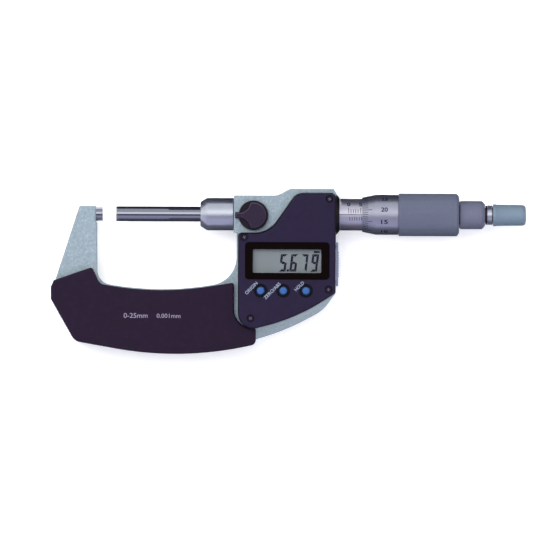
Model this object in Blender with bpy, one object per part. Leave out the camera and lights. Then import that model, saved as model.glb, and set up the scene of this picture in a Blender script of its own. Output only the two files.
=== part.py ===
"""Digital outside micrometer for 0 to 25 mm, as an assembly of separate pieces.

Metres, +Z up. The origin is the centre of the anvil's measuring face. +X runs along the spindle
towards the ratchet, +Y is up when the display is read and +Z comes out of the display, so the
tool lies on its back. The spindle is open by READING.
"""

import math

import bmesh
import bpy
from mathutils import Matrix, Vector

# Clearances
GAP = 0.0003            # between neighbours that are pressed, glued or screwed together
SEAT = 0.00005          # between two flat faces that are clamped on each other
RUNNING = 0.00006       # radial, between a shaft and the bore that it runs in

# Fineness of round shapes
LARGE_ROUND = 40
MEDIUM_ROUND = 24
SMALL_ROUND = 12
CORNER_STEPS = 4
BEVEL_PROFILE = 0.5

# How far a cutter runs past the face that it cuts, the smallest corner, and where shading creases
OVERRUN = 0.001
SHARP_CORNER = 0.0003
CREASE_ANGLE = 35

# The reading and the thimble
READING = 0.005679
MEASURING_RANGE = 0.025

# Spindle, anvil and their hard tips
SPINDLE_RADIUS = 0.003175
TIP_LENGTH = 0.0007
ANVIL_STICK_OUT = 0.0029
ANVIL_SHANK_RADIUS = 0.0019
ANVIL_SHANK_LENGTH = 0.0045

# Bow of the frame, with the left arm that carries the anvil
BOW_HALF_THICKNESS = 0.0042
BOW_EDGE_BEVEL = 0.0005
ARM_TOP = 0.0036
ARM_TOP_WIDTH = 0.0067
ARM_LEAN = 0.0008
ARM_FOOT = (-0.0204, -0.0283)
THROAT_FLOOR = -0.0336
THROAT_FLOOR_RADIUS = 0.130
THROAT_LEFT_RADIUS = 0.005
THROAT_LEFT_STRAIGHT = 0.0012
THROAT_RIGHT_RADIUS = 0.012
THROAT_RIGHT_LAP = 0.0010
THROAT_RIGHT = 0.0569

# Grip plates on both faces of the bow
GRIP_THICKNESS = 0.0024
GRIP_LEFT = -0.0218
GRIP_LEFT_HEIGHTS = (0.0030, 0.0079)
GRIP_LOW_CORNER = (-0.0116, -0.0540)
GRIP_LOW_BEND = (0.0013, -0.0563)
GRIP_BOTTOM_RADIUS = 0.144
GRIP_BOTTOM_EASE = 0.0041
GRIP_RIGHT = 0.0651
GRIP_RIGHT_LOW = -0.0551
GRIP_RIGHT_HIGH = -0.0488
GRIP_THROAT_RIGHT = 0.0555
GRIP_PEAK = (-0.0045, -0.0223)
GRIP_PEAK_RUN = 0.0034
GRIP_OVERHANG = 0.0006
GRIP_STEP_BACK = 0.0004
GRIP_BEVEL = 0.0006
GRIP_LEFT_CORNERS = (0.0008, 0.0015)
GRIP_LOW_CURVE = 0.0050
GRIP_END_CORNERS = (0.0025, 0.0010)
GRIP_HEEL_CURVE = 0.0075
GRIP_PEAK_CORNERS = (0.0030, 0.0013)
ARM_TOP_CORNER = 0.0008
PEG_RADIUS = 0.0015
PEG_LENGTH = 0.0025
PEG_PLACES = ((-0.0080, -0.0400), (0.0400, -0.0450))

# Head of the frame, which holds the electronics
HEAD_LEFT = 0.05585
HEAD_TOP = 0.00786
HEAD_HIGH_TOP = 0.01075
HEAD_STEP = (0.0747, 0.0795)
HEAD_STEP_DOWN = 0.0004
HEAD_CORNER_RUN = 0.0010
HEAD_CORNER_DROP = 0.0018
HEAD_REAR_BEVEL = 0.0008
HEAD_RIGHT = 0.0991
HEAD_FRONT = 0.0075
HEAD_REAR = -0.0105
HEAD_STEP_CURVE = 0.0040
HOUSING_INSET = 0.0002
SKIRT_START = -0.0015
SKIRT_LEFT_LOW = -0.0552
SKIRT_MIDDLE = (0.0782, -0.0488)
SKIRT_RIGHT_LOW = -0.0371
SKIRT_CURVES = (0.0030, 0.1000, 0.0110)
RIM_HEIGHT = 0.0046
SKIRT_LIP = 0.0006
RIM_WIDTH = 0.0019
REAR_WALL = 0.0020

# Front cover
COVER_LEFT = 0.0575
COVER_RIGHT = 0.0990
COVER_TOP = 0.0090
COVER_SHELF = -0.0080
COVER_STEP = (0.0706, 0.0828)
COVER_LEFT_LOW = -0.0504
COVER_MIDDLE_LOW = (0.0820, -0.0443)
COVER_RIGHT_LOW = -0.0334
COVER_LOW_CURVES = (0.0070, 0.0850, 0.0015)
COVER_TOP_CORNERS = (0.0022, 0.0018)
COVER_STEP_CURVES = (0.0050, 0.0115)
COVER_FRONT = 0.0105
COVER_WALL = 0.0015
COVER_BEVEL = 0.0006
COVER_POCKET_GAP = 0.0003
GASKET_THICKNESS = 0.0005
GASKET_WIDTH = 0.0010
GASKET_INSET = 0.0004
UPPER_LEFT_SCREW_IN = 0.0026
UPPER_LEFT_SCREW_DOWN = 0.0017
UPPER_RIGHT_SCREW_IN = 0.0027
UPPER_RIGHT_SCREW_DOWN = 0.0024
LOWER_RIGHT_SCREW_IN = 0.00295
LOWER_RIGHT_SCREW_UP = 0.0015
LOWER_LEFT_SCREW_IN = 0.0054
LOWER_LEFT_SCREW_UP = 0.0062
SCREW_PLACES = (
    (COVER_LEFT + UPPER_LEFT_SCREW_IN, COVER_SHELF - UPPER_LEFT_SCREW_DOWN),
    (COVER_RIGHT - UPPER_RIGHT_SCREW_IN, COVER_TOP - UPPER_RIGHT_SCREW_DOWN),
    (COVER_RIGHT - LOWER_RIGHT_SCREW_IN, COVER_RIGHT_LOW + LOWER_RIGHT_SCREW_UP),
    (COVER_LEFT + LOWER_LEFT_SCREW_IN, COVER_LEFT_LOW + LOWER_LEFT_SCREW_UP),
)
SCREW_HEAD_RADIUS = 0.0013
SCREW_HEAD_HEIGHT = 0.0009
SCREW_SHANK_RADIUS = 0.0007
SCREW_DEPTH = 0.0040
SCREW_SLOT_WIDTH = 0.0005
SCREW_SLOT_ANGLE = 25
SCREW_SLOT_TURN = 40
POST_RADIUS = 0.0019
EYE_RADIUS = 0.0026
SLEEVE_BOSS_RADIUS = 0.0078
SLEEVE_BOSS_LENGTH = 0.0046

# Display
WINDOW_LEFT = 0.0606
WINDOW_RIGHT = 0.0963
WINDOW_TOP = -0.0119
WINDOW_BOTTOM = -0.0276
WINDOW_CORNER = 0.0015
WINDOW_THICKNESS = 0.0010
WINDOW_LEDGE = 0.0013
LCD_THICKNESS = 0.0017
LCD_SIDE_ROOM = 0.0010
HOLDER_WIDTH = 0.0025

# Circuit board
BOARD_THICKNESS = 0.0010
BOARD_DROP = 0.00055
BOARD_EDGE_GAP = 0.0005
BOARD_UPPER_EDGE = -0.0105
BOARD_POSTS = ((0.0625, -0.0135), (0.0940, -0.0135), (0.0900, -0.0355))
BOARD_POST_RADIUS = 0.0013

# Buttons
BUTTON_PLACES = (("button_left", 0.06715), ("button_middle", 0.0768), ("button_right", 0.08645))
BUTTON_ROW = -0.0323
BUTTON_RADIUS = 0.0017
BUTTON_FLANGE_WIDTH = 0.0006
BUTTON_FLANGE_HEIGHT = 0.0009
BUTTON_TRAVEL = 0.0005
BUTTON_RECESS_RADIUS = 0.0028
BUTTON_RECESS_DEPTH = 0.0006
BUTTON_PROUD = 0.0001
PAD_SHEET = 0.0010
PAD_MARGIN = 0.0026
PAD_DOME_RADIUS = 0.00136

# Battery and its cap in the rear wall
BATTERY_PLACE = (0.0800, -0.0235)
BATTERY_RADIUS = 0.0058
BATTERY_HEIGHT = 0.0052
BATTERY_WELL_WALL = 0.0016
CAP_RADIUS = 0.0069
CAP_THICKNESS = 0.0016
CAP_SINK = 0.0004
CAP_SLOT_WIDTH = 0.0014
CAP_SLOT_LENGTH = 0.0090
CAP_SLOT_DEPTH = 0.0008
CAP_SEAL_WIDTH = 0.0008
CAP_SEAL_HEIGHT = 0.0006
CONTACT_WIDTH = 0.0040
CONTACT_LENGTH = 0.0070
CONTACT_SHEET = 0.0004

# Data port in the right wall of the head
PORT_MIDDLE_Y = -0.02115
PORT_MIDDLE_Z = -0.0020
PORT_COVER_END = 0.00185
PORT_COVER_HEIGHT = 0.0080
PORT_COVER_THICKNESS = 0.0008
PORT_RIDGE_HEIGHT = 0.0004
PORT_RIDGE_PITCH = 0.0011
PORT_RIDGES = 10
PORT_RIDGE_SHAPE = ((0.15, 0.0), (0.35, 1.0), (0.65, 1.0), (0.85, 0.0))
PORT_HOLE_LENGTH = 0.0090
PORT_HOLE_HEIGHT = 0.0044
PORT_PLUG_LENGTH = 0.0045
PORT_SCREW_SPACING = 0.0150
PORT_SCREW_RADIUS = 0.0011
PORT_SCREW_SHANK = 0.0006
PORT_SCREW_DEPTH = 0.0030

# Spindle guide in the nose of the head, with its wiper
GUIDE_LENGTH = 0.0141
GUIDE_RADIUS = 0.00688
GUIDE_FRONT_RADIUS = 0.0051
GUIDE_TAPER_LENGTH = 0.0028
GUIDE_SHANK_RADIUS = 0.0052
GUIDE_SHANK_LENGTH = 0.0042
WIPER_RADIUS = 0.0042
WIPER_LENGTH = 0.0018

# Spindle lock
LOCK_X = 0.0640
LOCK_Y = -0.0004
LOCK_DISC_RADIUS = 0.0063
LOCK_POINTER_REACH = 0.0078
LOCK_POINTER_HALF_WIDTH = 0.0012
LOCK_POINTER_ROOT = 0.0026
LOCK_HEIGHT = 0.0030
LOCK_BEVEL = 0.0007
LOCK_STUD_RADIUS = 0.0022

# Encoder around the spindle
ENCODER_X = 0.0875
ROTOR_RADIUS = 0.0066
ROTOR_THICKNESS = 0.0012
ROTOR_BUSH_WALL = 0.0013
ROTOR_BUSH_LENGTH = 0.0050
ROTOR_FLANGE = 0.0010
STATOR_THICKNESS = 0.0012
ENCODER_AIR_GAP = 0.0004
KEY_WIDTH = 0.0008
KEY_DEPTH = 0.0006
KEY_LENGTH = 0.0030

# Sleeves that carry the scale and the nut
SLEEVE_RADIUS = 0.00665
SLEEVE_WALL = 0.00075
SLEEVE_SET_BACK = 0.0070
INNER_SLEEVE_END_GAP = 0.0006
INNER_SLEEVE_FLANGE = 0.0012
INNER_SLEEVE_NECK_RADIUS = 0.0046
NUT_LENGTH = 0.0190
SPLIT_WIDTH = 0.0006
SPLIT_LENGTH = 0.0120
SPLITS = 3
ADJUSTING_NUT_RADIUS = 0.0062
ADJUSTING_NUT_LENGTH = 0.0045
COLLAR_RADIUS = 0.0086
COLLAR_FRONT_RADIUS = 0.0071
COLLAR_LENGTH = 0.0014
SLEEVE_BARE_LENGTH = 0.00537

# Thread of the spindle
THREAD_RADIUS = 0.0036
THREAD_MARGIN = 0.0012
SPINDLE_END_GAP = 0.0004
SPINDLE_SEAT_RADIUS = 0.0031

# Thimble and its knurled grip
THIMBLE_EDGE_RADIUS = 0.0072
THIMBLE_RADIUS = 0.0084
THIMBLE_TAPER_LENGTH = 0.00585
THIMBLE_PLAIN_LENGTH = 0.0097
THIMBLE_GRIP_RADIUS = 0.00895
THIMBLE_GRIP_LENGTH = 0.0256
THIMBLE_GRIP_ROUND = 0.0018
THIMBLE_GRIP_ROUND_STEPS = 3
THIMBLE_TAIL_RADIUS = 0.0079
THIMBLE_END_WALL = 0.0050
THIMBLE_CAP_WALL = 0.0027

# Ratchet
RATCHET_HOUSING_RADIUS = 0.0058
RATCHET_HOUSING_LENGTH = 0.0108
RATCHET_HOUSING_CHAMFER = 0.0013
RATCHET_HUB_RADIUS = 0.0040
RATCHET_HUB_LENGTH = 0.0022
RATCHET_CAVITY_RADIUS = 0.0036
RATCHET_BACK_WALL = 0.0034
RATCHET_STEM_RADIUS = 0.0032
RATCHET_RING_LENGTH = 0.0019
RATCHET_TEETH = 12
RATCHET_TOOTH = 0.0004
NECK_LENGTH = 0.0034
NECK_RING_RADIUS = 0.0041
NECK_RING_LENGTH = 0.0020
KNOB_RADIUS = 0.00466
KNOB_END_RADIUS = 0.0043
KNOB_LENGTH = 0.0137
KNOB_HOLLOW_SETBACK = 0.0004
KNOB_RIM_LENGTH = 0.0014
KNOB_RIM_STEP = 0.00016
KNOB_HOLLOW_RADIUS = 0.0029
KNOB_CAP_DOME = 0.0004
KNOB_CAP_SHAPE = ((1.0, 0.0), (0.85, 0.6), (0.5, 0.9), (0.0, 1.0))
RATCHET_SCREW_RADIUS = 0.0013
RATCHET_SCREW_HEAD = 0.0024
RATCHET_SCREW_HEAD_LENGTH = 0.0022
RATCHET_SCREW_GRIP = 0.0070
SPRING_WIRE = 0.00025
SPRING_LENGTH = 0.0034
SPRING_TURNS = 4
SPRING_STEPS_PER_TURN = 12

# Places worked out from the sizes
ARM_FACE = -ANVIL_STICK_OUT
GRIP_FACE = BOW_HALF_THICKNESS + GAP
COVER_BACK = RIM_HEIGHT + GASKET_THICKNESS + 2 * SEAT
COVER_INNER = COVER_FRONT - COVER_WALL
CAVITY_FLOOR = HEAD_REAR + REAR_WALL
GUIDE_FRONT = HEAD_LEFT - GAP - GUIDE_LENGTH
LOCK_SEAT = HEAD_FRONT + GAP
PORT_COVER_LENGTH = PORT_SCREW_SPACING + 2 * PORT_COVER_END
SPINDLE_FACE = READING
ZERO_MARK = HEAD_RIGHT + SLEEVE_BARE_LENGTH
THIMBLE_EDGE = ZERO_MARK + READING
THIMBLE_STEP = THIMBLE_EDGE + THIMBLE_TAPER_LENGTH + THIMBLE_PLAIN_LENGTH
GRIP_END = THIMBLE_STEP + THIMBLE_GRIP_LENGTH
THIMBLE_END = GRIP_END - THIMBLE_CAP_WALL - GAP
INNER_SLEEVE_END = THIMBLE_END - THIMBLE_END_WALL - READING - INNER_SLEEVE_END_GAP
SLEEVE_END = INNER_SLEEVE_END - SLEEVE_SET_BACK
NUT_START = INNER_SLEEVE_END - NUT_LENGTH
RATCHET_START = GRIP_END + GAP
SPINDLE_END = RATCHET_START - RATCHET_HUB_LENGTH - SPINDLE_END_GAP
RATCHET_END = RATCHET_START + RATCHET_HOUSING_LENGTH
RATCHET_FLOOR = RATCHET_START + RATCHET_BACK_WALL
KNOB_START = RATCHET_END + NECK_LENGTH
KNOB_END = KNOB_START + KNOB_LENGTH
TRAVEL_OPEN = MEASURING_RANGE - READING
TRAVEL_CLOSE = READING
SLEEVE_BORE = SLEEVE_RADIUS - SLEEVE_WALL
INNER_SLEEVE_RADIUS = SLEEVE_BORE - GAP
BOARD_TOP = RIM_HEIGHT - BOARD_DROP
BOARD_BOTTOM = BOARD_TOP - BOARD_THICKNESS
BATTERY_TOP = HEAD_REAR + CAP_SINK + CAP_THICKNESS + SEAT + BATTERY_HEIGHT
WELL_TOP = BATTERY_TOP - CONTACT_SHEET
SEAL_TOP = HEAD_REAR + CAP_SINK + CAP_THICKNESS + 2 * SEAT + CAP_SEAL_HEIGHT
STATOR_X = ENCODER_X + ROTOR_THICKNESS + ENCODER_AIR_GAP
HOLLOW_START = KNOB_START + KNOB_HOLLOW_SETBACK
SCREW_HEAD_START = HOLLOW_START + 2 * SEAT + SPRING_LENGTH


def colour(red, green, blue):
    """A linear colour from 8-bit screen values."""
    return tuple(((value / 255 + 0.055) / 1.055) ** 2.4 for value in (red, green, blue)) + (1.0,)


def material(name, screen_colour, roughness, metallic=0.0):
    """A plain surface with this colour, roughness and metallic value."""
    made = bpy.data.materials.new(name)
    made.use_nodes = True
    shader = made.node_tree.nodes["Principled BSDF"]
    shader.inputs["Base Color"].default_value = colour(*screen_colour)
    shader.inputs["Roughness"].default_value = roughness
    shader.inputs["Metallic"].default_value = metallic
    return made


FINISHES = {
    "frame paint": ((158, 176, 188), 0.45, 0.3),
    "grip plastic": ((40, 38, 58), 0.55, 0.0),
    "cover plastic": ((42, 40, 62), 0.45, 0.0),
    "bezel glass": ((14, 6, 8), 0.08, 0.0),
    "display": ((125, 134, 139), 0.4, 0.0),
    "bright steel": ((196, 198, 206), 0.22, 1.0),
    "satin chrome": ((172, 174, 188), 0.35, 1.0),
    "grey anodised": ((116, 122, 146), 0.5, 0.8),
    "hard metal": ((120, 122, 130), 0.15, 1.0),
    "brass": ((190, 160, 90), 0.3, 1.0),
    "black rubber": ((22, 22, 26), 0.8, 0.0),
    "lever plastic": ((52, 42, 66), 0.4, 0.0),
    "blue rubber": ((67, 108, 172), 0.5, 0.0),
    "board": ((28, 92, 60), 0.5, 0.0),
    "white plastic": ((215, 215, 210), 0.5, 0.0),
    "dark screw": ((60, 60, 66), 0.35, 1.0),
    "port grey": ((178, 180, 190), 0.5, 0.0),
}


def finish(obj, kind):
    """Gives the object a material of its own, of this kind."""
    obj.data.materials.append(material(obj.name + " " + kind, *FINISHES[kind]))
    return obj


def object_from(name, mesh_builder, place=(0.0, 0.0, 0.0)):
    """An object at this place, with the bmesh as its mesh."""
    bmesh.ops.recalc_face_normals(mesh_builder, faces=mesh_builder.faces)
    mesh = bpy.data.meshes.new(name)
    mesh_builder.to_mesh(mesh)
    mesh_builder.free()
    mesh.shade_smooth()
    mesh.set_sharp_from_angle(angle=math.radians(CREASE_ANGLE))
    made = bpy.data.objects.new(name, mesh)
    made.location = place
    bpy.context.scene.collection.objects.link(made)
    return made


def parallel(corners, distance, closed=True):
    """The outline moved outwards by a distance; corners run anticlockwise as (x, y, radius)."""
    edges = []
    count = len(corners)
    for i in range(count if closed else count - 1):
        start = Vector(corners[i][:2])
        end = Vector(corners[(i + 1) % count][:2])
        along = (end - start).normalized()
        outwards = Vector((along.y, -along.x))
        edges.append((start + outwards * distance, along))
    moved = []
    for i, (x, y, radius) in enumerate(corners):
        if not closed and i in (0, count - 1):
            start, along = edges[0] if i == 0 else edges[-1]
            point = start + along * (Vector((x, y)) - start).dot(along)
            moved.append((point.x, point.y, radius))
            continue
        first, before = edges[i - 1]
        second, after = edges[i]
        turn = before.x * after.y - before.y * after.x
        offset = second - first
        reach = (offset.x * after.y - offset.y * after.x) / turn
        point = first + before * reach
        grown = radius + distance if turn > 0 else radius - distance
        moved.append((point.x, point.y, max(grown, SEAT) if radius else 0.0))
    return moved


def rounded(corners, steps=CORNER_STEPS):
    """Points of a closed outline of (x, y, radius) corners, each radius as an arc."""
    points = []
    count = len(corners)
    for i, (x, y, radius) in enumerate(corners):
        corner = Vector((x, y))
        to_last = (Vector(corners[i - 1][:2]) - corner).normalized()
        to_next = (Vector(corners[(i + 1) % count][:2]) - corner).normalized()
        if radius <= 0:
            points.append(corner)
            continue
        half = to_last.angle(to_next) / 2
        start = corner + to_last * (radius / math.tan(half))
        centre = corner + (to_last + to_next).normalized() * (radius / math.sin(half))
        spoke = start - centre
        turn = to_last.x * to_next.y - to_last.y * to_next.x
        sweep = (math.pi - 2 * half) * (-1 if turn > 0 else 1)
        for k in range(steps + 1):
            points.append(centre + Matrix.Rotation(sweep * k / steps, 2) @ spoke)
    return points


def eased(corners, least):
    """The corners with no round smaller than this, so that a bevel fits on them."""
    return [(x, y, max(radius, least) if radius else 0.0) for x, y, radius in corners]


def prism(name, points, low, high, bevel=0.0, place=(0.0, 0.0, 0.0), bevel_low=True):
    """A plate between two heights, with its front and rear edges bevelled."""
    build = bmesh.new()
    ring = [build.verts.new((x, y, low)) for x, y in points]
    base = build.faces.new(ring)
    made = bmesh.ops.extrude_face_region(build, geom=[base])
    top = [part for part in made["geom"] if isinstance(part, bmesh.types.BMVert)]
    bmesh.ops.translate(build, verts=top, vec=(0, 0, high - low))
    if bevel:
        wanted = [high, low] if bevel_low else [high]
        rims = [edge for edge in build.edges if any(
            all(abs(vert.co.z - level) < 1e-7 for vert in edge.verts) for level in wanted)]
        bmesh.ops.bevel(build, geom=rims, offset=bevel, segments=1, affect="EDGES",
                        profile=BEVEL_PROFILE, clamp_overlap=True)
    return object_from(name, build, place)


def lofted(name, rings):
    """A closed body through rings of equally many points, each with its height."""
    build = bmesh.new()
    loops = [[build.verts.new((x, y, height)) for x, y in points] for points, height in rings]
    count = len(loops[0])
    for lower, upper in zip(loops, loops[1:]):
        for i in range(count):
            after = (i + 1) % count
            build.faces.new((lower[i], lower[after], upper[after], upper[i]))
    bmesh.ops.triangulate(build, faces=build.faces)
    build.faces.new(list(reversed(loops[0])))
    build.faces.new(loops[-1])
    return object_from(name, build)


def turned(name, profile, segments=MEDIUM_ROUND, along="X", place=(0.0, 0.0, 0.0)):
    """A lathe-turned body from a closed profile of (distance along the axis, radius)."""
    build = bmesh.new()
    verts = [build.verts.new((radius, 0, length)) for length, radius in profile]
    for i, vert in enumerate(verts):
        after = verts[(i + 1) % len(verts)]
        if max(vert.co.x, after.co.x) > 1e-9:
            build.edges.new((vert, after))
    bmesh.ops.spin(build, geom=build.verts[:] + build.edges[:], cent=(0, 0, 0), axis=(0, 0, 1),
                   angle=math.tau, steps=segments, use_merge=True, use_duplicate=False)
    bmesh.ops.remove_doubles(build, verts=build.verts, dist=1e-7)
    if along == "X":
        bmesh.ops.rotate(build, verts=build.verts, cent=(0, 0, 0),
                         matrix=Matrix.Rotation(math.pi / 2, 3, "Y"))
    return object_from(name, build, place)


def block(name, low, high, place=(0.0, 0.0, 0.0)):
    """A box between two corners."""
    build = bmesh.new()
    bmesh.ops.create_cube(build, size=1.0)
    size = Vector(high) - Vector(low)
    bmesh.ops.scale(build, vec=size, verts=build.verts)
    bmesh.ops.translate(build, vec=(Vector(low) + Vector(high)) / 2, verts=build.verts)
    return object_from(name, build, place)


def studs(name, places, radius, low, high, segments=SMALL_ROUND):
    """One mesh of upright round studs at these places, to cut with or to add."""
    build = bmesh.new()
    for x, y in places:
        shift = Matrix.Translation((x, y, (low + high) / 2))
        bmesh.ops.create_cone(build, cap_ends=True, segments=segments, radius1=radius,
                              radius2=radius, depth=high - low, matrix=shift)
    return object_from(name, build)


def change(target, other, operation):
    """Cuts the other body from the target, or adds it, and hides the other body."""
    step = target.modifiers.new(other.name, "BOOLEAN")
    step.operation = operation
    step.solver = "EXACT"
    step.object = other
    other.hide_render = True
    other.display_type = "WIRE"


def cut(target, *others):
    for other in others:
        change(target, other, "DIFFERENCE")


def add(target, *others):
    for other in others:
        change(target, other, "UNION")


def bore(shaft_radius, clearance, segments):
    """Radius of a many-sided bore whose flats keep this clearance to the shaft."""
    return (shaft_radius + clearance) / math.cos(math.pi / segments)


def cover_corners():
    """Outline of the front cover, anticlockwise from its upper left corner."""
    return [
        (COVER_LEFT, COVER_SHELF, COVER_TOP_CORNERS[1]),
        (COVER_LEFT, COVER_LEFT_LOW, COVER_LOW_CURVES[0]),
        (*COVER_MIDDLE_LOW, COVER_LOW_CURVES[1]),
        (COVER_RIGHT, COVER_RIGHT_LOW, COVER_LOW_CURVES[2]),
        (COVER_RIGHT, COVER_TOP, COVER_TOP_CORNERS[0]),
        (COVER_STEP[1], COVER_TOP, COVER_STEP_CURVES[0]),
        (COVER_STEP[0], COVER_SHELF, COVER_STEP_CURVES[1]),
    ]


def throat_chain():
    """The throat as an open chain of corners, down its right wall and up the arm."""
    left = ARM_FACE + ARM_LEAN
    curve_left = left + THROAT_LEFT_RADIUS + THROAT_LEFT_STRAIGHT
    curve_right = THROAT_RIGHT - THROAT_RIGHT_RADIUS + THROAT_RIGHT_LAP
    middle = (curve_left + curve_right) / 2
    slope = (curve_right - curve_left) / 2 / THROAT_FLOOR_RADIUS
    return [
        (THROAT_RIGHT, COVER_SHELF, 0.0),
        (THROAT_RIGHT, THROAT_FLOOR + slope * (THROAT_RIGHT - middle), THROAT_RIGHT_RADIUS),
        (middle, THROAT_FLOOR, THROAT_FLOOR_RADIUS),
        (left, THROAT_FLOOR + slope * (middle - left), THROAT_LEFT_RADIUS),
        (ARM_FACE, ARM_TOP, SHARP_CORNER),
    ]


def bulged(first, last, radius, ease):
    """Corner below two points whose rounding starts this far from each of them."""
    across, up = last[0] - first[0], last[1] - first[1]
    half = math.hypot(across, up) / 2
    turn = math.asin(half / math.hypot(radius, ease)) - math.atan2(ease, radius)
    drop = math.tan(turn) / 2
    return (first[0] + across / 2 + up * drop, first[1] + up / 2 - across * drop, radius)


def grip_outer():
    """The grip's outer edge as an open chain of corners, from the arm's foot to the right end."""
    return [
        (*ARM_FOOT, SHARP_CORNER),
        (GRIP_LEFT, ARM_FOOT[1] - GRIP_LEFT_HEIGHTS[0], GRIP_LEFT_CORNERS[0]),
        (GRIP_LEFT, ARM_FOOT[1] - GRIP_LEFT_HEIGHTS[1], GRIP_LEFT_CORNERS[1]),
        (*GRIP_LOW_CORNER, GRIP_LOW_CURVE),
        (*GRIP_LOW_BEND, 0.0),
        bulged(GRIP_LOW_BEND, (GRIP_RIGHT, GRIP_RIGHT_LOW), GRIP_BOTTOM_RADIUS, GRIP_BOTTOM_EASE),
        (GRIP_RIGHT, GRIP_RIGHT_LOW, GRIP_END_CORNERS[0]),
    ]


def height_at(first, second, x):
    """Height at x on the line through two corners."""
    share = (x - first[0]) / (second[0] - first[0])
    return first[1] + share * (second[1] - first[1])


def grip_corners():
    """Outline of a grip plate, anticlockwise."""
    floor = parallel(throat_chain(), -GRIP_STEP_BACK, closed=False)
    foot = GRIP_PEAK[0] + GRIP_PEAK_RUN
    return grip_outer() + [
        (GRIP_RIGHT, GRIP_RIGHT_HIGH, GRIP_END_CORNERS[1]),
        (GRIP_THROAT_RIGHT, GRIP_RIGHT_HIGH, GRIP_HEEL_CURVE),
        (GRIP_THROAT_RIGHT, height_at(floor[1], floor[2], GRIP_THROAT_RIGHT),
         GRIP_END_CORNERS[1]),
        floor[2],
        (foot, height_at(floor[2], floor[3], foot), GRIP_PEAK_CORNERS[0]),
        (*GRIP_PEAK, GRIP_PEAK_CORNERS[1]),
    ]


def bow_corners():
    """Outline of the bow, anticlockwise from the arm's upper left corner."""
    outer = parallel(grip_outer(), -GRIP_OVERHANG, closed=False)
    return [(ARM_FACE - ARM_TOP_WIDTH, ARM_TOP, ARM_TOP_CORNER)] + outer + [
        (outer[-1][0], COVER_SHELF, 0.0),
    ] + throat_chain()


def housing_corners(low):
    """Outline of the head, anticlockwise; its low outline spreads into a skirt below the cover."""
    left = COVER_LEFT - HOUSING_INSET
    if low:
        bottom = [
            (left, SKIRT_LEFT_LOW, SKIRT_CURVES[0]),
            (*SKIRT_MIDDLE, SKIRT_CURVES[1]),
            (HEAD_RIGHT, SKIRT_RIGHT_LOW, SKIRT_CURVES[2]),
        ]
    else:
        bottom = [
            (left, COVER_LEFT_LOW - HOUSING_INSET, COVER_LOW_CURVES[0]),
            (COVER_MIDDLE_LOW[0], COVER_MIDDLE_LOW[1] - HOUSING_INSET, COVER_LOW_CURVES[1]),
            (HEAD_RIGHT, COVER_RIGHT_LOW - HOUSING_INSET, COVER_LOW_CURVES[2]),
        ]
    return [
        (HEAD_LEFT, HEAD_TOP, SHARP_CORNER),
        (HEAD_LEFT, COVER_SHELF + HEAD_STEP_DOWN, SHARP_CORNER),
        (left, COVER_SHELF - HEAD_STEP_DOWN, SHARP_CORNER),
    ] + bottom + [
        (HEAD_RIGHT, HEAD_HIGH_TOP - HEAD_CORNER_DROP, SHARP_CORNER),
        (HEAD_RIGHT - HEAD_CORNER_RUN, HEAD_HIGH_TOP, SHARP_CORNER),
        (HEAD_STEP[1], HEAD_HIGH_TOP, HEAD_STEP_CURVE),
        (HEAD_STEP[0], HEAD_TOP, HEAD_STEP_CURVE),
    ]


def rectangle(left, right, bottom, top, radius):
    """Corners of a rectangle, anticlockwise."""
    return [(left, top, radius), (left, bottom, radius), (right, bottom, radius), (right, top, radius)]


def window_corners():
    return rectangle(WINDOW_LEFT, WINDOW_RIGHT, WINDOW_BOTTOM, WINDOW_TOP, WINDOW_CORNER)


def lcd_corners():
    return parallel(window_corners(), LCD_SIDE_ROOM - WINDOW_LEDGE)


def bar_x(name, radius, start, end, segments=MEDIUM_ROUND):
    """A round bar along the spindle's axis, to cut with."""
    return turned(name, [(start, 0), (start, radius), (end, radius), (end, 0)], segments)


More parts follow.
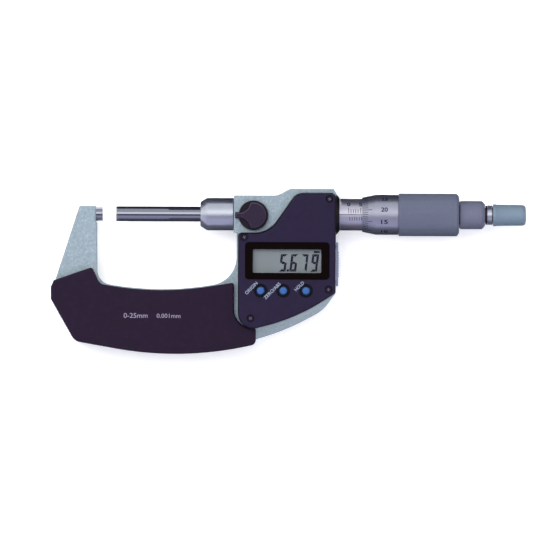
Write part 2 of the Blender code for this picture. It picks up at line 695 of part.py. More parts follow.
def make_frame():
    """The casting: bow, left arm and head in one piece, with its cavity, bores and posts."""
    low, high = rounded(housing_corners(True)), rounded(housing_corners(False))
    base = rounded(parallel(housing_corners(True), -HEAD_REAR_BEVEL))
    frame = lofted("frame", [
        (base, HEAD_REAR), (low, HEAD_REAR + HEAD_REAR_BEVEL), (low, SKIRT_START),
        (high, RIM_HEIGHT - SKIRT_LIP), (high, HEAD_FRONT),
    ])
    bow = prism("add_bow", rounded(eased(bow_corners(), 2 * BOW_EDGE_BEVEL)),
                -BOW_HALF_THICKNESS, BOW_HALF_THICKNESS, BOW_EDGE_BEVEL)
    add(frame, bow)
    above = COVER_FRONT + OVERRUN
    below = HEAD_REAR - OVERRUN
    pocket = prism("cut_cover_pocket", rounded(parallel(cover_corners(), COVER_POCKET_GAP)),
                   RIM_HEIGHT, above)
    hollow = prism("cut_cavity", rounded(parallel(cover_corners(), -RIM_WIDTH)), CAVITY_FLOOR, above)
    boss = bar_x("keep_sleeve_boss", SLEEVE_BOSS_RADIUS, HEAD_RIGHT - SLEEVE_BOSS_LENGTH,
                 HEAD_RIGHT + OVERRUN, LARGE_ROUND)
    well_radius = CAP_RADIUS + GAP + BATTERY_WELL_WALL
    cut(pocket, boss)
    cut(hollow, boss,
        studs("keep_screw_posts", SCREW_PLACES, POST_RADIUS, below, above),
        studs("keep_board_posts", BOARD_POSTS, BOARD_POST_RADIUS, below, BOARD_BOTTOM - SEAT),
        studs("keep_battery_well", [BATTERY_PLACE], well_radius, below, WELL_TOP, MEDIUM_ROUND))
    grip = rounded(parallel(grip_corners(), GAP))
    cut(frame, pocket, hollow,
        prism("cut_front_grip", grip, BOW_HALF_THICKNESS, above),
        prism("cut_rear_grip", grip, below, -BOW_HALF_THICKNESS))
    cut(frame,
        studs("cut_cap_hole", [BATTERY_PLACE], CAP_RADIUS + GAP, below, SEAL_TOP, MEDIUM_ROUND),
        studs("cut_battery_hole", [BATTERY_PLACE], BATTERY_RADIUS + GAP, below,
              WELL_TOP + OVERRUN, MEDIUM_ROUND),
        studs("cut_screw_holes", SCREW_PLACES, SCREW_SHANK_RADIUS + GAP,
              RIM_HEIGHT - SCREW_DEPTH - GAP, RIM_HEIGHT + OVERRUN),
        studs("cut_front_pegs", PEG_PLACES, PEG_RADIUS + GAP,
              GRIP_FACE - PEG_LENGTH - GAP, GRIP_FACE + OVERRUN),
        studs("cut_rear_pegs", PEG_PLACES, PEG_RADIUS + GAP,
              -GRIP_FACE - OVERRUN, PEG_LENGTH + GAP - GRIP_FACE))
    guide_seat = HEAD_LEFT + GUIDE_SHANK_LENGTH + GAP
    cut(frame,
        bar_x("cut_anvil_bore", ANVIL_SHANK_RADIUS + GAP,
              ARM_FACE - ANVIL_SHANK_LENGTH - GAP, ARM_FACE + OVERRUN, SMALL_ROUND),
        bar_x("cut_guide_bore", GUIDE_SHANK_RADIUS + GAP, HEAD_LEFT - OVERRUN, guide_seat),
        bar_x("cut_spindle_bore", SPINDLE_RADIUS + GAP, guide_seat - OVERRUN, ENCODER_X),
        bar_x("cut_sleeve_bore", INNER_SLEEVE_RADIUS + GAP,
              HEAD_RIGHT - SLEEVE_BOSS_LENGTH - OVERRUN, HEAD_RIGHT + OVERRUN),
        studs("cut_lock_hole", [(LOCK_X, LOCK_Y)], LOCK_STUD_RADIUS + GAP, 0.0,
              HEAD_FRONT + OVERRUN, MEDIUM_ROUND))
    wall = (HEAD_RIGHT - COVER_RIGHT + RIM_WIDTH) + OVERRUN
    cut(frame, block("cut_port", *port_box(PORT_HOLE_LENGTH, PORT_HOLE_HEIGHT, -wall, OVERRUN)))
    for index, y in enumerate(port_screw_rows()):
        hole = bar_x(f"cut_port_screw_{index + 1}", PORT_SCREW_SHANK + GAP,
                     HEAD_RIGHT - wall, HEAD_RIGHT + OVERRUN, SMALL_ROUND)
        hole.location = (0, y, PORT_MIDDLE_Z)
        cut(frame, hole)
    return finish(frame, "frame paint")


def make_anvil():
    shank_start = ARM_FACE - ANVIL_SHANK_LENGTH
    shoulder = ARM_FACE + GAP
    end = -TIP_LENGTH - SEAT
    anvil = turned("anvil", [
        (shank_start, 0), (shank_start, ANVIL_SHANK_RADIUS), (shoulder, ANVIL_SHANK_RADIUS),
        (shoulder, SPINDLE_RADIUS), (end, SPINDLE_RADIUS), (end, 0),
    ])
    tip = bar_x("anvil_tip", SPINDLE_RADIUS, -TIP_LENGTH, 0.0)
    return finish(anvil, "bright steel"), finish(tip, "hard metal")


def make_grips():
    """The two insulating plates, each with two pegs that locate it in the bow."""
    made = []
    outline = rounded(eased(grip_corners(), 2 * GRIP_BEVEL))
    for name, side in (("front_grip", 1), ("rear_grip", -1)):
        inner, outer = side * GRIP_FACE, side * (GRIP_FACE + GRIP_THICKNESS)
        plate = prism(name, outline, min(inner, outer), max(inner, outer), GRIP_BEVEL)
        root, tip = inner + side * GRIP_THICKNESS / 2, inner - side * PEG_LENGTH
        add(plate, studs("add_" + name + "_pegs", PEG_PLACES, PEG_RADIUS, min(root, tip), max(root, tip)))
        made.append(finish(plate, "grip plastic"))
    return made


def make_cover():
    """The front cover: a shell with a window, three button holes and four screw posts."""
    cover = prism("front_cover", rounded(cover_corners()), COVER_BACK, COVER_FRONT, COVER_BEVEL,
                  bevel_low=False)
    inside = prism("cut_cover_inside", rounded(parallel(cover_corners(), -COVER_WALL)),
                   COVER_BACK - OVERRUN, COVER_INNER)
    cut(inside, studs("keep_cover_posts", SCREW_PLACES, POST_RADIUS, COVER_BACK - 2 * OVERRUN, COVER_FRONT))
    cut(cover, inside)
    above = COVER_FRONT + OVERRUN
    holes = [(x, BUTTON_ROW) for _, x in BUTTON_PLACES]
    recess = rounded(parallel(window_corners(), GAP))
    opening = rounded(parallel(window_corners(), -WINDOW_LEDGE))
    cut(cover,
        prism("cut_window_recess", recess, COVER_FRONT - WINDOW_THICKNESS - SEAT, above),
        prism("cut_window_opening", opening, COVER_BACK, above),
        studs("cut_button_recesses", holes, BUTTON_RECESS_RADIUS,
              COVER_FRONT - BUTTON_RECESS_DEPTH, above),
        studs("cut_button_holes", holes, BUTTON_RADIUS + GAP, COVER_BACK, above),
        studs("cut_cover_screws", SCREW_PLACES, SCREW_SHANK_RADIUS + GAP, COVER_BACK - OVERRUN, above),
        studs("cut_screw_heads", SCREW_PLACES, SCREW_HEAD_RADIUS + GAP,
              COVER_FRONT - SCREW_HEAD_HEIGHT - 2 * SEAT, above))
    gasket = prism("cover_gasket", rounded(parallel(cover_corners(), -GASKET_INSET)),
                   RIM_HEIGHT + SEAT, RIM_HEIGHT + SEAT + GASKET_THICKNESS)
    ring_edge = rounded(parallel(cover_corners(), -GASKET_INSET - GASKET_WIDTH))
    ring_inside = prism("cut_gasket_inside", ring_edge, RIM_HEIGHT, COVER_FRONT)
    cut(ring_inside, studs("keep_gasket_eyes", SCREW_PLACES, EYE_RADIUS, RIM_HEIGHT - OVERRUN, above))
    cut(gasket, ring_inside,
        studs("cut_gasket_holes", SCREW_PLACES, SCREW_SHANK_RADIUS + GAP, RIM_HEIGHT,
              COVER_BACK + OVERRUN))
    for piece in (cover, gasket):
        cut(piece, bar_x("cut_boss_from_" + piece.name, SLEEVE_BOSS_RADIUS + GAP,
                         HEAD_RIGHT - SLEEVE_BOSS_LENGTH - GAP, HEAD_RIGHT + OVERRUN, LARGE_ROUND))
    return finish(cover, "cover plastic"), finish(gasket, "black rubber")


def make_cover_screws():
    """Four slotted screws that hold the cover."""
    made = []
    top = COVER_FRONT - SEAT
    under = top - SCREW_HEAD_HEIGHT
    end = RIM_HEIGHT - SCREW_DEPTH
    for index, (x, y) in enumerate(SCREW_PLACES):
        name = f"cover_screw_{index + 1}"
        screw = turned(name, [
            (end, 0), (end, SCREW_SHANK_RADIUS), (under, SCREW_SHANK_RADIUS),
            (under, SCREW_HEAD_RADIUS), (top, SCREW_HEAD_RADIUS), (top, 0),
        ], SMALL_ROUND, "Z", (x, y, 0))
        half = SCREW_SLOT_WIDTH / 2
        slot = block("cut_" + name, (-SCREW_HEAD_RADIUS * 2, -half, top - SCREW_HEAD_HEIGHT / 2),
                     (SCREW_HEAD_RADIUS * 2, half, top + OVERRUN), (x, y, 0))
        slot.rotation_euler.z = math.radians(SCREW_SLOT_ANGLE + SCREW_SLOT_TURN * index)
        cut(screw, slot)
        made.append(finish(screw, "dark screw"))
    return made


def make_display():
    """The window, the display panel below it, its holder and the circuit board."""
    floor = COVER_FRONT - WINDOW_THICKNESS
    window = prism("display_window", rounded(window_corners()), floor, COVER_FRONT)
    panel_top = COVER_INNER - GAP
    panel_bottom = panel_top - LCD_THICKNESS
    panel = prism("lcd_panel", rounded(lcd_corners(), 2), panel_bottom, panel_top)
    holder = prism("lcd_holder", rounded(lcd_corners(), 2), BOARD_TOP + SEAT, panel_bottom - SEAT)
    inside = rounded(parallel(lcd_corners(), -HOLDER_WIDTH), 2)
    cut(holder, prism("cut_lcd_holder", inside, BOARD_TOP - OVERRUN, COVER_FRONT))
    outline = rounded(parallel(cover_corners(), -RIM_WIDTH - BOARD_EDGE_GAP))
    board = prism("circuit_board", outline, BOARD_BOTTOM, BOARD_TOP)
    cut(board,
        block("cut_board_top", (COVER_LEFT, BOARD_UPPER_EDGE, BOARD_BOTTOM - OVERRUN),
              (HEAD_RIGHT, HEAD_HIGH_TOP, BOARD_TOP + OVERRUN)),
        studs("cut_board_notches", SCREW_PLACES, POST_RADIUS + GAP, BOARD_BOTTOM - OVERRUN,
              BOARD_TOP + OVERRUN))
    return (finish(window, "bezel glass"), finish(panel, "display"),
            finish(holder, "white plastic"), finish(board, "board"))


def make_buttons():
    """Three push buttons, and the rubber pad with one dome below each."""
    made = []
    flange_top = COVER_INNER - GAP
    flange_bottom = flange_top - BUTTON_FLANGE_HEIGHT
    top = COVER_FRONT + BUTTON_PROUD
    round_off = BUTTON_RADIUS / 6
    for name, x in BUTTON_PLACES:
        button = turned(name, [
            (flange_bottom, 0), (flange_bottom, BUTTON_RADIUS + BUTTON_FLANGE_WIDTH),
            (flange_top, BUTTON_RADIUS + BUTTON_FLANGE_WIDTH), (flange_top, BUTTON_RADIUS),
            (top - round_off, BUTTON_RADIUS), (top, BUTTON_RADIUS - round_off), (top, 0),
        ], SMALL_ROUND, "Z", (x, BUTTON_ROW, 0))
        made.append(finish(button, "blue rubber"))
    columns = [x for _, x in BUTTON_PLACES]
    sheet = rectangle(min(columns) - PAD_MARGIN, max(columns) + PAD_MARGIN,
                      BUTTON_ROW - PAD_MARGIN, BUTTON_ROW + PAD_MARGIN, PAD_MARGIN / 4)
    sheet_top = BOARD_TOP + SEAT + PAD_SHEET
    pad = prism("button_pad", rounded(sheet, 2), BOARD_TOP + SEAT, sheet_top)
    dome_top = flange_bottom - BUTTON_TRAVEL - 2 * SEAT
    add(pad, studs("add_pad_domes", [(x, BUTTON_ROW) for x in columns], PAD_DOME_RADIUS,
                   sheet_top - PAD_SHEET / 2, dome_top))
    made.append(finish(pad, "black rubber"))
    return made


def make_battery():
    """The cell, its coin-slotted cap in the rear wall, the cap's seal and the contact spring."""
    x, y = BATTERY_PLACE
    cap_top = HEAD_REAR + CAP_SINK + CAP_THICKNESS
    cap = turned("battery_cap", [
        (HEAD_REAR + CAP_SINK, 0), (HEAD_REAR + CAP_SINK, CAP_RADIUS), (cap_top, CAP_RADIUS),
        (cap_top, 0),
    ], MEDIUM_ROUND, "Z", (x, y, 0))
    half = CAP_SLOT_LENGTH / 2
    slot = block("cut_coin_slot", (-half, -CAP_SLOT_WIDTH / 2, HEAD_REAR - OVERRUN),
                 (half, CAP_SLOT_WIDTH / 2, HEAD_REAR + CAP_SINK + CAP_SLOT_DEPTH), (x, y, 0))
    cut(cap, slot)
    seal = turned("battery_cap_seal", [
        (cap_top + SEAT, CAP_RADIUS - CAP_SEAL_WIDTH), (cap_top + SEAT, CAP_RADIUS),
        (cap_top + SEAT + CAP_SEAL_HEIGHT, CAP_RADIUS),
        (cap_top + SEAT + CAP_SEAL_HEIGHT, CAP_RADIUS - CAP_SEAL_WIDTH),
    ], MEDIUM_ROUND, "Z", (x, y, 0))
    cell_low = cap_top + SEAT
    cell = turned("battery", [
        (cell_low, 0), (cell_low, BATTERY_RADIUS), (BATTERY_TOP, BATTERY_RADIUS), (BATTERY_TOP, 0),
    ], MEDIUM_ROUND, "Z", (x, y, 0))
    foot, head = BATTERY_TOP + SEAT, BOARD_BOTTOM - SEAT
    arm, sheet = CONTACT_LENGTH / 2, CONTACT_SHEET
    strip = [
        (-arm, foot), (arm, foot), (arm, foot + sheet), (-arm + 3 * sheet, foot + sheet),
        (arm, head - sheet), (arm, head), (-arm, head), (-arm, head - sheet),
        (arm - 3 * sheet, head - sheet), (-arm, foot + sheet),
    ]
    contact = prism("battery_contact", strip, -CONTACT_WIDTH / 2, CONTACT_WIDTH / 2, place=(x, y, 0))
    contact.rotation_euler.x = math.pi / 2
    return (finish(cap, "satin chrome"), finish(seal, "black rubber"),
            finish(cell, "bright steel"), finish(contact, "brass"))


def port_box(length, height, start, end):
    """Corners of a box on the head's right face, from its middle."""
    return ((HEAD_RIGHT + start, PORT_MIDDLE_Y - length / 2, PORT_MIDDLE_Z - height / 2),
            (HEAD_RIGHT + end, PORT_MIDDLE_Y + length / 2, PORT_MIDDLE_Z + height / 2))


def port_screw_rows():
    return (PORT_MIDDLE_Y - PORT_SCREW_SPACING / 2, PORT_MIDDLE_Y + PORT_SCREW_SPACING / 2)


def make_port():
    """The data port's connector, its ridged cover strip and two screws."""
    plug = block("data_connector", *port_box(PORT_HOLE_LENGTH - 2 * GAP, PORT_HOLE_HEIGHT - 2 * GAP,
                                             -PORT_PLUG_LENGTH, -GAP))
    face = HEAD_RIGHT + SEAT
    outer = face + PORT_COVER_THICKNESS
    low, high = PORT_MIDDLE_Y - PORT_COVER_LENGTH / 2, PORT_MIDDLE_Y + PORT_COVER_LENGTH / 2
    points = [(face, high), (face, low), (outer, low)]
    first = PORT_MIDDLE_Y - PORT_RIDGE_PITCH * PORT_RIDGES / 2
    for index in range(PORT_RIDGES):
        y = first + index * PORT_RIDGE_PITCH
        for along, up in PORT_RIDGE_SHAPE:
            points.append((outer + PORT_RIDGE_HEIGHT * up, y + PORT_RIDGE_PITCH * along))
    points.append((outer, high))
    half = PORT_COVER_HEIGHT / 2
    cover = prism("port_cover", points, PORT_MIDDLE_Z - half, PORT_MIDDLE_Z + half)
    made = [finish(plug, "black rubber"), finish(cover, "port grey")]
    head_under = outer - PORT_COVER_THICKNESS / 2
    end = HEAD_RIGHT - PORT_SCREW_DEPTH
    for index, y in enumerate(port_screw_rows()):
        place = (0, y, PORT_MIDDLE_Z)
        name = f"port_screw_{index + 1}"
        hole = bar_x("cut_port_cover_" + name, PORT_SCREW_SHANK + GAP, face - OVERRUN, outer + OVERRUN,
                     SMALL_ROUND)
        sink = bar_x("cut_port_head_" + name, PORT_SCREW_RADIUS + GAP, head_under - SEAT,
                     outer + OVERRUN, SMALL_ROUND)
        hole.location = place
        sink.location = place
        cut(cover, hole, sink)
        screw = turned(name, [
            (end, 0), (end, PORT_SCREW_SHANK), (head_under, PORT_SCREW_SHANK),
            (head_under, PORT_SCREW_RADIUS), (outer, PORT_SCREW_RADIUS), (outer, 0),
        ], SMALL_ROUND, "X", place)
        made.append(finish(screw, "dark screw"))
    return made


def make_guide():
    """The bright nose that guides the spindle, and the wiper seal in its mouth."""
    hole = bore(SPINDLE_RADIUS, RUNNING, LARGE_ROUND)
    flange_end = HEAD_LEFT - GAP
    shank_end = HEAD_LEFT + GUIDE_SHANK_LENGTH
    mouth = GUIDE_FRONT + WIPER_LENGTH + 2 * GAP
    guide = turned("spindle_guide", [
        (GUIDE_FRONT, WIPER_RADIUS + GAP), (GUIDE_FRONT, GUIDE_FRONT_RADIUS),
        (GUIDE_FRONT + GUIDE_TAPER_LENGTH, GUIDE_RADIUS), (flange_end, GUIDE_RADIUS),
        (flange_end, GUIDE_SHANK_RADIUS), (shank_end, GUIDE_SHANK_RADIUS), (shank_end, hole),
        (mouth, hole), (mouth, WIPER_RADIUS + GAP),
    ], LARGE_ROUND)
    wiper = turned("wiper_seal", [
        (GUIDE_FRONT + GAP, hole), (GUIDE_FRONT + GAP, WIPER_RADIUS),
        (GUIDE_FRONT + GAP + WIPER_LENGTH, WIPER_RADIUS), (GUIDE_FRONT + GAP + WIPER_LENGTH, hole),
    ], LARGE_ROUND)
    return finish(guide, "bright steel"), finish(wiper, "black rubber")


def make_lock():
    """The lock's lever, a disc with a pointer, and the stud that it turns."""
    half = LOCK_POINTER_HALF_WIDTH
    root = math.asin(LOCK_POINTER_ROOT / LOCK_DISC_RADIUS)
    points = []
    for step in range(MEDIUM_ROUND + 1):
        angle = math.pi + root + step * (math.tau - 2 * root) / MEDIUM_ROUND
        points.append((LOCK_DISC_RADIUS * math.cos(angle), LOCK_DISC_RADIUS * math.sin(angle)))
    points.append((-LOCK_POINTER_REACH, half))
    points.append((-LOCK_POINTER_REACH, -half))
    lever = prism("lock_lever", points, LOCK_SEAT, LOCK_SEAT + LOCK_HEIGHT, LOCK_BEVEL,
                  (LOCK_X, LOCK_Y, 0), bevel_low=False)
    low = SPINDLE_RADIUS + GAP
    stud = turned("lock_stud", [
        (low, 0), (low, LOCK_STUD_RADIUS), (LOCK_SEAT - SEAT, LOCK_STUD_RADIUS),
        (LOCK_SEAT - SEAT, 0),
    ], SMALL_ROUND, "Z", (LOCK_X, LOCK_Y, 0))
    return finish(lever, "lever plastic"), finish(stud, "dark screw")


def make_encoder():
    """The bush keyed to the spindle, its patterned rotor and the fixed stator."""
    hole = bore(SPINDLE_RADIUS, RUNNING, LARGE_ROUND)
    outer = hole + ROTOR_BUSH_WALL
    start = ENCODER_X - ROTOR_BUSH_LENGTH
    end = ENCODER_X + ROTOR_THICKNESS
    flange = ROTOR_RADIUS - GAP
    bush = turned("rotor_bush", [
        (start, hole), (start, outer), (ENCODER_X - SEAT - ROTOR_FLANGE, outer),
        (ENCODER_X - SEAT - ROTOR_FLANGE, flange), (ENCODER_X - SEAT, flange),
        (ENCODER_X - SEAT, outer), (end, outer), (end, hole),
    ], LARGE_ROUND)
    half = KEY_WIDTH / 2
    low = SPINDLE_RADIUS - KEY_DEPTH + 2 * SEAT
    key_start = start + ROTOR_BUSH_WALL / 2
    key = block("rotor_key", (key_start, -half, low), (key_start + KEY_LENGTH, half, outer - SEAT))
    cut(bush, block("cut_key_slot", (key_start - SEAT, -half - SEAT, SPINDLE_RADIUS / 2),
                    (key_start + KEY_LENGTH + SEAT, half + SEAT, outer + OVERRUN)))
    inner = outer + GAP
    rotor = turned("encoder_rotor", [
        (ENCODER_X, inner), (ENCODER_X, ROTOR_RADIUS), (end, ROTOR_RADIUS), (end, inner),
    ])
    stator = turned("encoder_stator", [
        (STATOR_X, inner), (STATOR_X, ROTOR_RADIUS), (STATOR_X + STATOR_THICKNESS, ROTOR_RADIUS),
        (STATOR_X + STATOR_THICKNESS, inner),
    ])
    return (finish(bush, "brass"), finish(key, "dark screw"), finish(rotor, "board"),
            finish(stator, "board"))


def make_sleeves():
    """The inner sleeve with its split nut, the adjusting nut, the scale sleeve and the collar."""
    start = STATOR_X + STATOR_THICKNESS + SEAT
    thread_bore = bore(THREAD_RADIUS, RUNNING, LARGE_ROUND)
    wide_bore = THREAD_RADIUS + 2 * GAP
    inner = turned("inner_sleeve", [
        (start, wide_bore), (start, ROTOR_RADIUS), (start + INNER_SLEEVE_FLANGE, ROTOR_RADIUS),
        (start + INNER_SLEEVE_FLANGE, INNER_SLEEVE_RADIUS), (SLEEVE_END, INNER_SLEEVE_RADIUS),
        (SLEEVE_END, INNER_SLEEVE_NECK_RADIUS), (INNER_SLEEVE_END, INNER_SLEEVE_NECK_RADIUS),
        (INNER_SLEEVE_END, thread_bore), (NUT_START, thread_bore), (NUT_START, wide_bore),
    ], LARGE_ROUND)
    for index in range(SPLITS):
        half = SPLIT_WIDTH / 2
        name = f"cut_split_{index + 1}"
        slot = block(name, (INNER_SLEEVE_END - SPLIT_LENGTH, -half, THREAD_RADIUS / 2),
                     (INNER_SLEEVE_END + OVERRUN, half, SLEEVE_RADIUS))
        slot.rotation_euler.x = math.tau * index / SPLITS
        cut(inner, slot)
    nut_start = SLEEVE_END + GAP
    nut_end = nut_start + ADJUSTING_NUT_LENGTH
    nut = turned("adjusting_nut", [
        (nut_start, INNER_SLEEVE_NECK_RADIUS + GAP), (nut_start, ADJUSTING_NUT_RADIUS),
        (nut_end, ADJUSTING_NUT_RADIUS), (nut_end, INNER_SLEEVE_NECK_RADIUS + GAP),
    ])
    sleeve_start = HEAD_RIGHT + SEAT
    scale = turned("scale_sleeve", [
        (sleeve_start, SLEEVE_BORE), (sleeve_start, SLEEVE_RADIUS), (SLEEVE_END, SLEEVE_RADIUS),
        (SLEEVE_END, SLEEVE_BORE),
    ], LARGE_ROUND)
    collar_end = sleeve_start + COLLAR_LENGTH
    collar = turned("sleeve_collar", [
        (sleeve_start, SLEEVE_RADIUS + GAP), (sleeve_start, COLLAR_RADIUS),
        (collar_end - COLLAR_LENGTH / 3, COLLAR_FRONT_RADIUS + COLLAR_LENGTH / 3),
        (collar_end, COLLAR_FRONT_RADIUS), (collar_end, SLEEVE_RADIUS + GAP),
    ], LARGE_ROUND)
    return (finish(inner, "bright steel"), finish(nut, "bright steel"),
            finish(scale, "satin chrome"), finish(collar, "cover plastic"))


def make_spindle():
    """The spindle with its key groove and thread, and its hard tip."""
    start = SPINDLE_FACE + TIP_LENGTH + SEAT
    thread_start = NUT_START - TRAVEL_OPEN - THREAD_MARGIN
    thread_end = THIMBLE_END - THIMBLE_END_WALL - GAP
    hole_end = SPINDLE_END - RATCHET_SCREW_GRIP - GAP
    hole = RATCHET_SCREW_RADIUS + GAP
    spindle = turned("spindle", [
        (start, 0), (start, SPINDLE_RADIUS), (thread_start, SPINDLE_RADIUS),
        (thread_start, THREAD_RADIUS), (thread_end, THREAD_RADIUS),
        (thread_end, SPINDLE_SEAT_RADIUS), (SPINDLE_END, SPINDLE_SEAT_RADIUS), (SPINDLE_END, hole),
        (hole_end, hole), (hole_end, 0),
    ], LARGE_ROUND)
    half = KEY_WIDTH / 2 + RUNNING
    key_middle = ENCODER_X - ROTOR_BUSH_LENGTH + ROTOR_BUSH_WALL / 2 + KEY_LENGTH / 2
    run = KEY_LENGTH / 2 + THREAD_MARGIN
    groove = block("cut_key_groove",
                   (key_middle - run - TRAVEL_OPEN, -half, SPINDLE_RADIUS - KEY_DEPTH),
                   (key_middle + run + TRAVEL_CLOSE, half, SPINDLE_RADIUS + OVERRUN))
    cut(spindle, groove)
    tip = bar_x("spindle_tip", SPINDLE_RADIUS, SPINDLE_FACE, SPINDLE_FACE + TIP_LENGTH)
    return finish(spindle, "bright steel"), finish(tip, "hard metal")


def make_thimble():
    """The graduated thimble on the spindle's seat, and the knurled grip pressed on it."""
    hollow = SLEEVE_RADIUS + GAP
    seat = SPINDLE_SEAT_RADIUS + GAP
    thimble = turned("thimble", [
        (THIMBLE_EDGE, hollow), (THIMBLE_EDGE, THIMBLE_EDGE_RADIUS),
        (THIMBLE_EDGE + THIMBLE_TAPER_LENGTH, THIMBLE_RADIUS), (THIMBLE_STEP, THIMBLE_RADIUS),
        (THIMBLE_STEP, THIMBLE_TAIL_RADIUS), (THIMBLE_END, THIMBLE_TAIL_RADIUS),
        (THIMBLE_END, seat), (THIMBLE_END - THIMBLE_END_WALL, seat),
        (THIMBLE_END - THIMBLE_END_WALL, hollow),
    ], LARGE_ROUND)
    start = THIMBLE_STEP + SEAT
    inner = THIMBLE_TAIL_RADIUS + GAP
    profile = [(start, inner), (start, THIMBLE_GRIP_RADIUS)]
    for step in range(THIMBLE_GRIP_ROUND_STEPS + 1):
        angle = math.pi / 2 * step / THIMBLE_GRIP_ROUND_STEPS
        profile.append((GRIP_END - THIMBLE_GRIP_ROUND * (1 - math.sin(angle)),
                        THIMBLE_GRIP_RADIUS - THIMBLE_GRIP_ROUND * (1 - math.cos(angle))))
    profile += [
        (GRIP_END, RATCHET_HUB_RADIUS + GAP),
        (GRIP_END - THIMBLE_CAP_WALL, RATCHET_HUB_RADIUS + GAP), (GRIP_END - THIMBLE_CAP_WALL, inner),
    ]
    grip = turned("thimble_grip", profile, LARGE_ROUND)
    return finish(thimble, "satin chrome"), finish(grip, "grey anodised")


def make_ratchet_housing():
    """The ratchet's housing on the thimble's end, and the toothed ring inside it."""
    shaft = RATCHET_SCREW_RADIUS + GAP
    chamfer = RATCHET_HOUSING_CHAMFER
    hub_start = RATCHET_START - RATCHET_HUB_LENGTH
    housing = turned("ratchet_housing", [
        (hub_start, shaft), (hub_start, RATCHET_HUB_RADIUS), (RATCHET_START, RATCHET_HUB_RADIUS),
        (RATCHET_START, RATCHET_HOUSING_RADIUS), (RATCHET_END - chamfer, RATCHET_HOUSING_RADIUS),
        (RATCHET_END, RATCHET_HOUSING_RADIUS - chamfer), (RATCHET_END, RATCHET_CAVITY_RADIUS),
        (RATCHET_FLOOR, RATCHET_CAVITY_RADIUS), (RATCHET_FLOOR, shaft),
    ])
    build = bmesh.new()
    start = RATCHET_FLOOR + SEAT
    root = start + RATCHET_RING_LENGTH - RATCHET_TOOTH
    rings = []
    for step in range(2 * RATCHET_TEETH):
        angle = math.pi * step / RATCHET_TEETH
        end = root + RATCHET_TOOTH * (step % 2)
        corners = ((start, shaft), (start, RATCHET_CAVITY_RADIUS - GAP),
                   (end, RATCHET_CAVITY_RADIUS - GAP), (end, shaft))
        rings.append([build.verts.new((x, radius * math.cos(angle), radius * math.sin(angle)))
                      for x, radius in corners])
    for before, after in zip(rings, rings[1:] + rings[:1]):
        for i in range(4):
            k = (i + 1) % 4
            build.faces.new((before[i], before[k], after[k], after[i]))
    ring = object_from("ratchet_ring", build)
    return finish(housing, "grey anodised"), finish(ring, "bright steel")


def make_ratchet_screw():
    """The long screw that holds the ratchet on the spindle; the knob turns on its shank."""
    tip = SPINDLE_END - RATCHET_SCREW_GRIP
    head_end = SCREW_HEAD_START + RATCHET_SCREW_HEAD_LENGTH
    screw = turned("ratchet_screw", [
        (tip, 0), (tip, RATCHET_SCREW_RADIUS), (SCREW_HEAD_START, RATCHET_SCREW_RADIUS),
        (SCREW_HEAD_START, RATCHET_SCREW_HEAD), (head_end, RATCHET_SCREW_HEAD), (head_end, 0),
    ], SMALL_ROUND)
    half = SCREW_SLOT_WIDTH / 2
    reach = RATCHET_SCREW_HEAD * 2
    cut(screw, block("cut_ratchet_screw", (head_end - RATCHET_SCREW_HEAD_LENGTH / 3, -reach, -half),
                     (head_end + OVERRUN, reach, half)))
    return finish(screw, "dark screw")


def make_knob():
    """The ratchet knob with its bright neck ring, end cap and spring."""
    shaft = RATCHET_SCREW_RADIUS + GAP
    stem_start = RATCHET_FLOOR + SEAT + RATCHET_RING_LENGTH + GAP
    rim_end = KNOB_START + KNOB_RIM_LENGTH
    chamfer = KNOB_RIM_STEP * 2
    knob = turned("ratchet_knob", [
        (stem_start, shaft), (stem_start, RATCHET_STEM_RADIUS), (KNOB_START, RATCHET_STEM_RADIUS),
        (KNOB_START, KNOB_RADIUS), (rim_end, KNOB_RADIUS), (rim_end, KNOB_RADIUS - KNOB_RIM_STEP),
        (KNOB_END - chamfer, KNOB_END_RADIUS), (KNOB_END, KNOB_END_RADIUS - chamfer),
        (KNOB_END, KNOB_HOLLOW_RADIUS), (HOLLOW_START, KNOB_HOLLOW_RADIUS), (HOLLOW_START, shaft),
    ])
    ring_end = KNOB_START - SEAT
    ring = turned("neck_ring", [
        (ring_end - NECK_RING_LENGTH, RATCHET_STEM_RADIUS + SEAT),
        (ring_end - NECK_RING_LENGTH, NECK_RING_RADIUS), (ring_end, NECK_RING_RADIUS),
        (ring_end, RATCHET_STEM_RADIUS + SEAT),
    ])
    plug = KNOB_HOLLOW_RADIUS - GAP
    face = KNOB_END + SEAT
    rim = KNOB_END_RADIUS - chamfer
    cap = turned("knob_cap", [
        (KNOB_END - KNOB_HOLLOW_RADIUS, 0), (KNOB_END - KNOB_HOLLOW_RADIUS, plug), (face, plug),
    ] + [(face + KNOB_CAP_DOME * out, rim * share) for share, out in KNOB_CAP_SHAPE])
    curve = bpy.data.curves.new("ratchet_spring", "CURVE")
    curve.dimensions = "3D"
    curve.bevel_depth = SPRING_WIRE
    curve.bevel_resolution = 1
    curve.use_fill_caps = True
    steps = SPRING_TURNS * SPRING_STEPS_PER_TURN
    line = curve.splines.new("POLY")
    line.points.add(steps)
    coil = (shaft + KNOB_HOLLOW_RADIUS) / 2
    first = HOLLOW_START + SEAT + SPRING_WIRE
    run = SPRING_LENGTH - 2 * SPRING_WIRE
    for step, point in enumerate(line.points):
        angle = math.tau * step / SPRING_STEPS_PER_TURN
        point.co = (first + run * step / steps, coil * math.cos(angle), coil * math.sin(angle), 1)
    spring = bpy.data.objects.new("ratchet_spring", curve)
    bpy.context.scene.collection.objects.link(spring)
    return (finish(knob, "grey anodised"), finish(ring, "bright steel"),
            finish(cap, "grey anodised"), finish(spring, "bright steel"))


for old in list(bpy.data.objects):
    bpy.data.objects.remove(old, do_unlink=True)

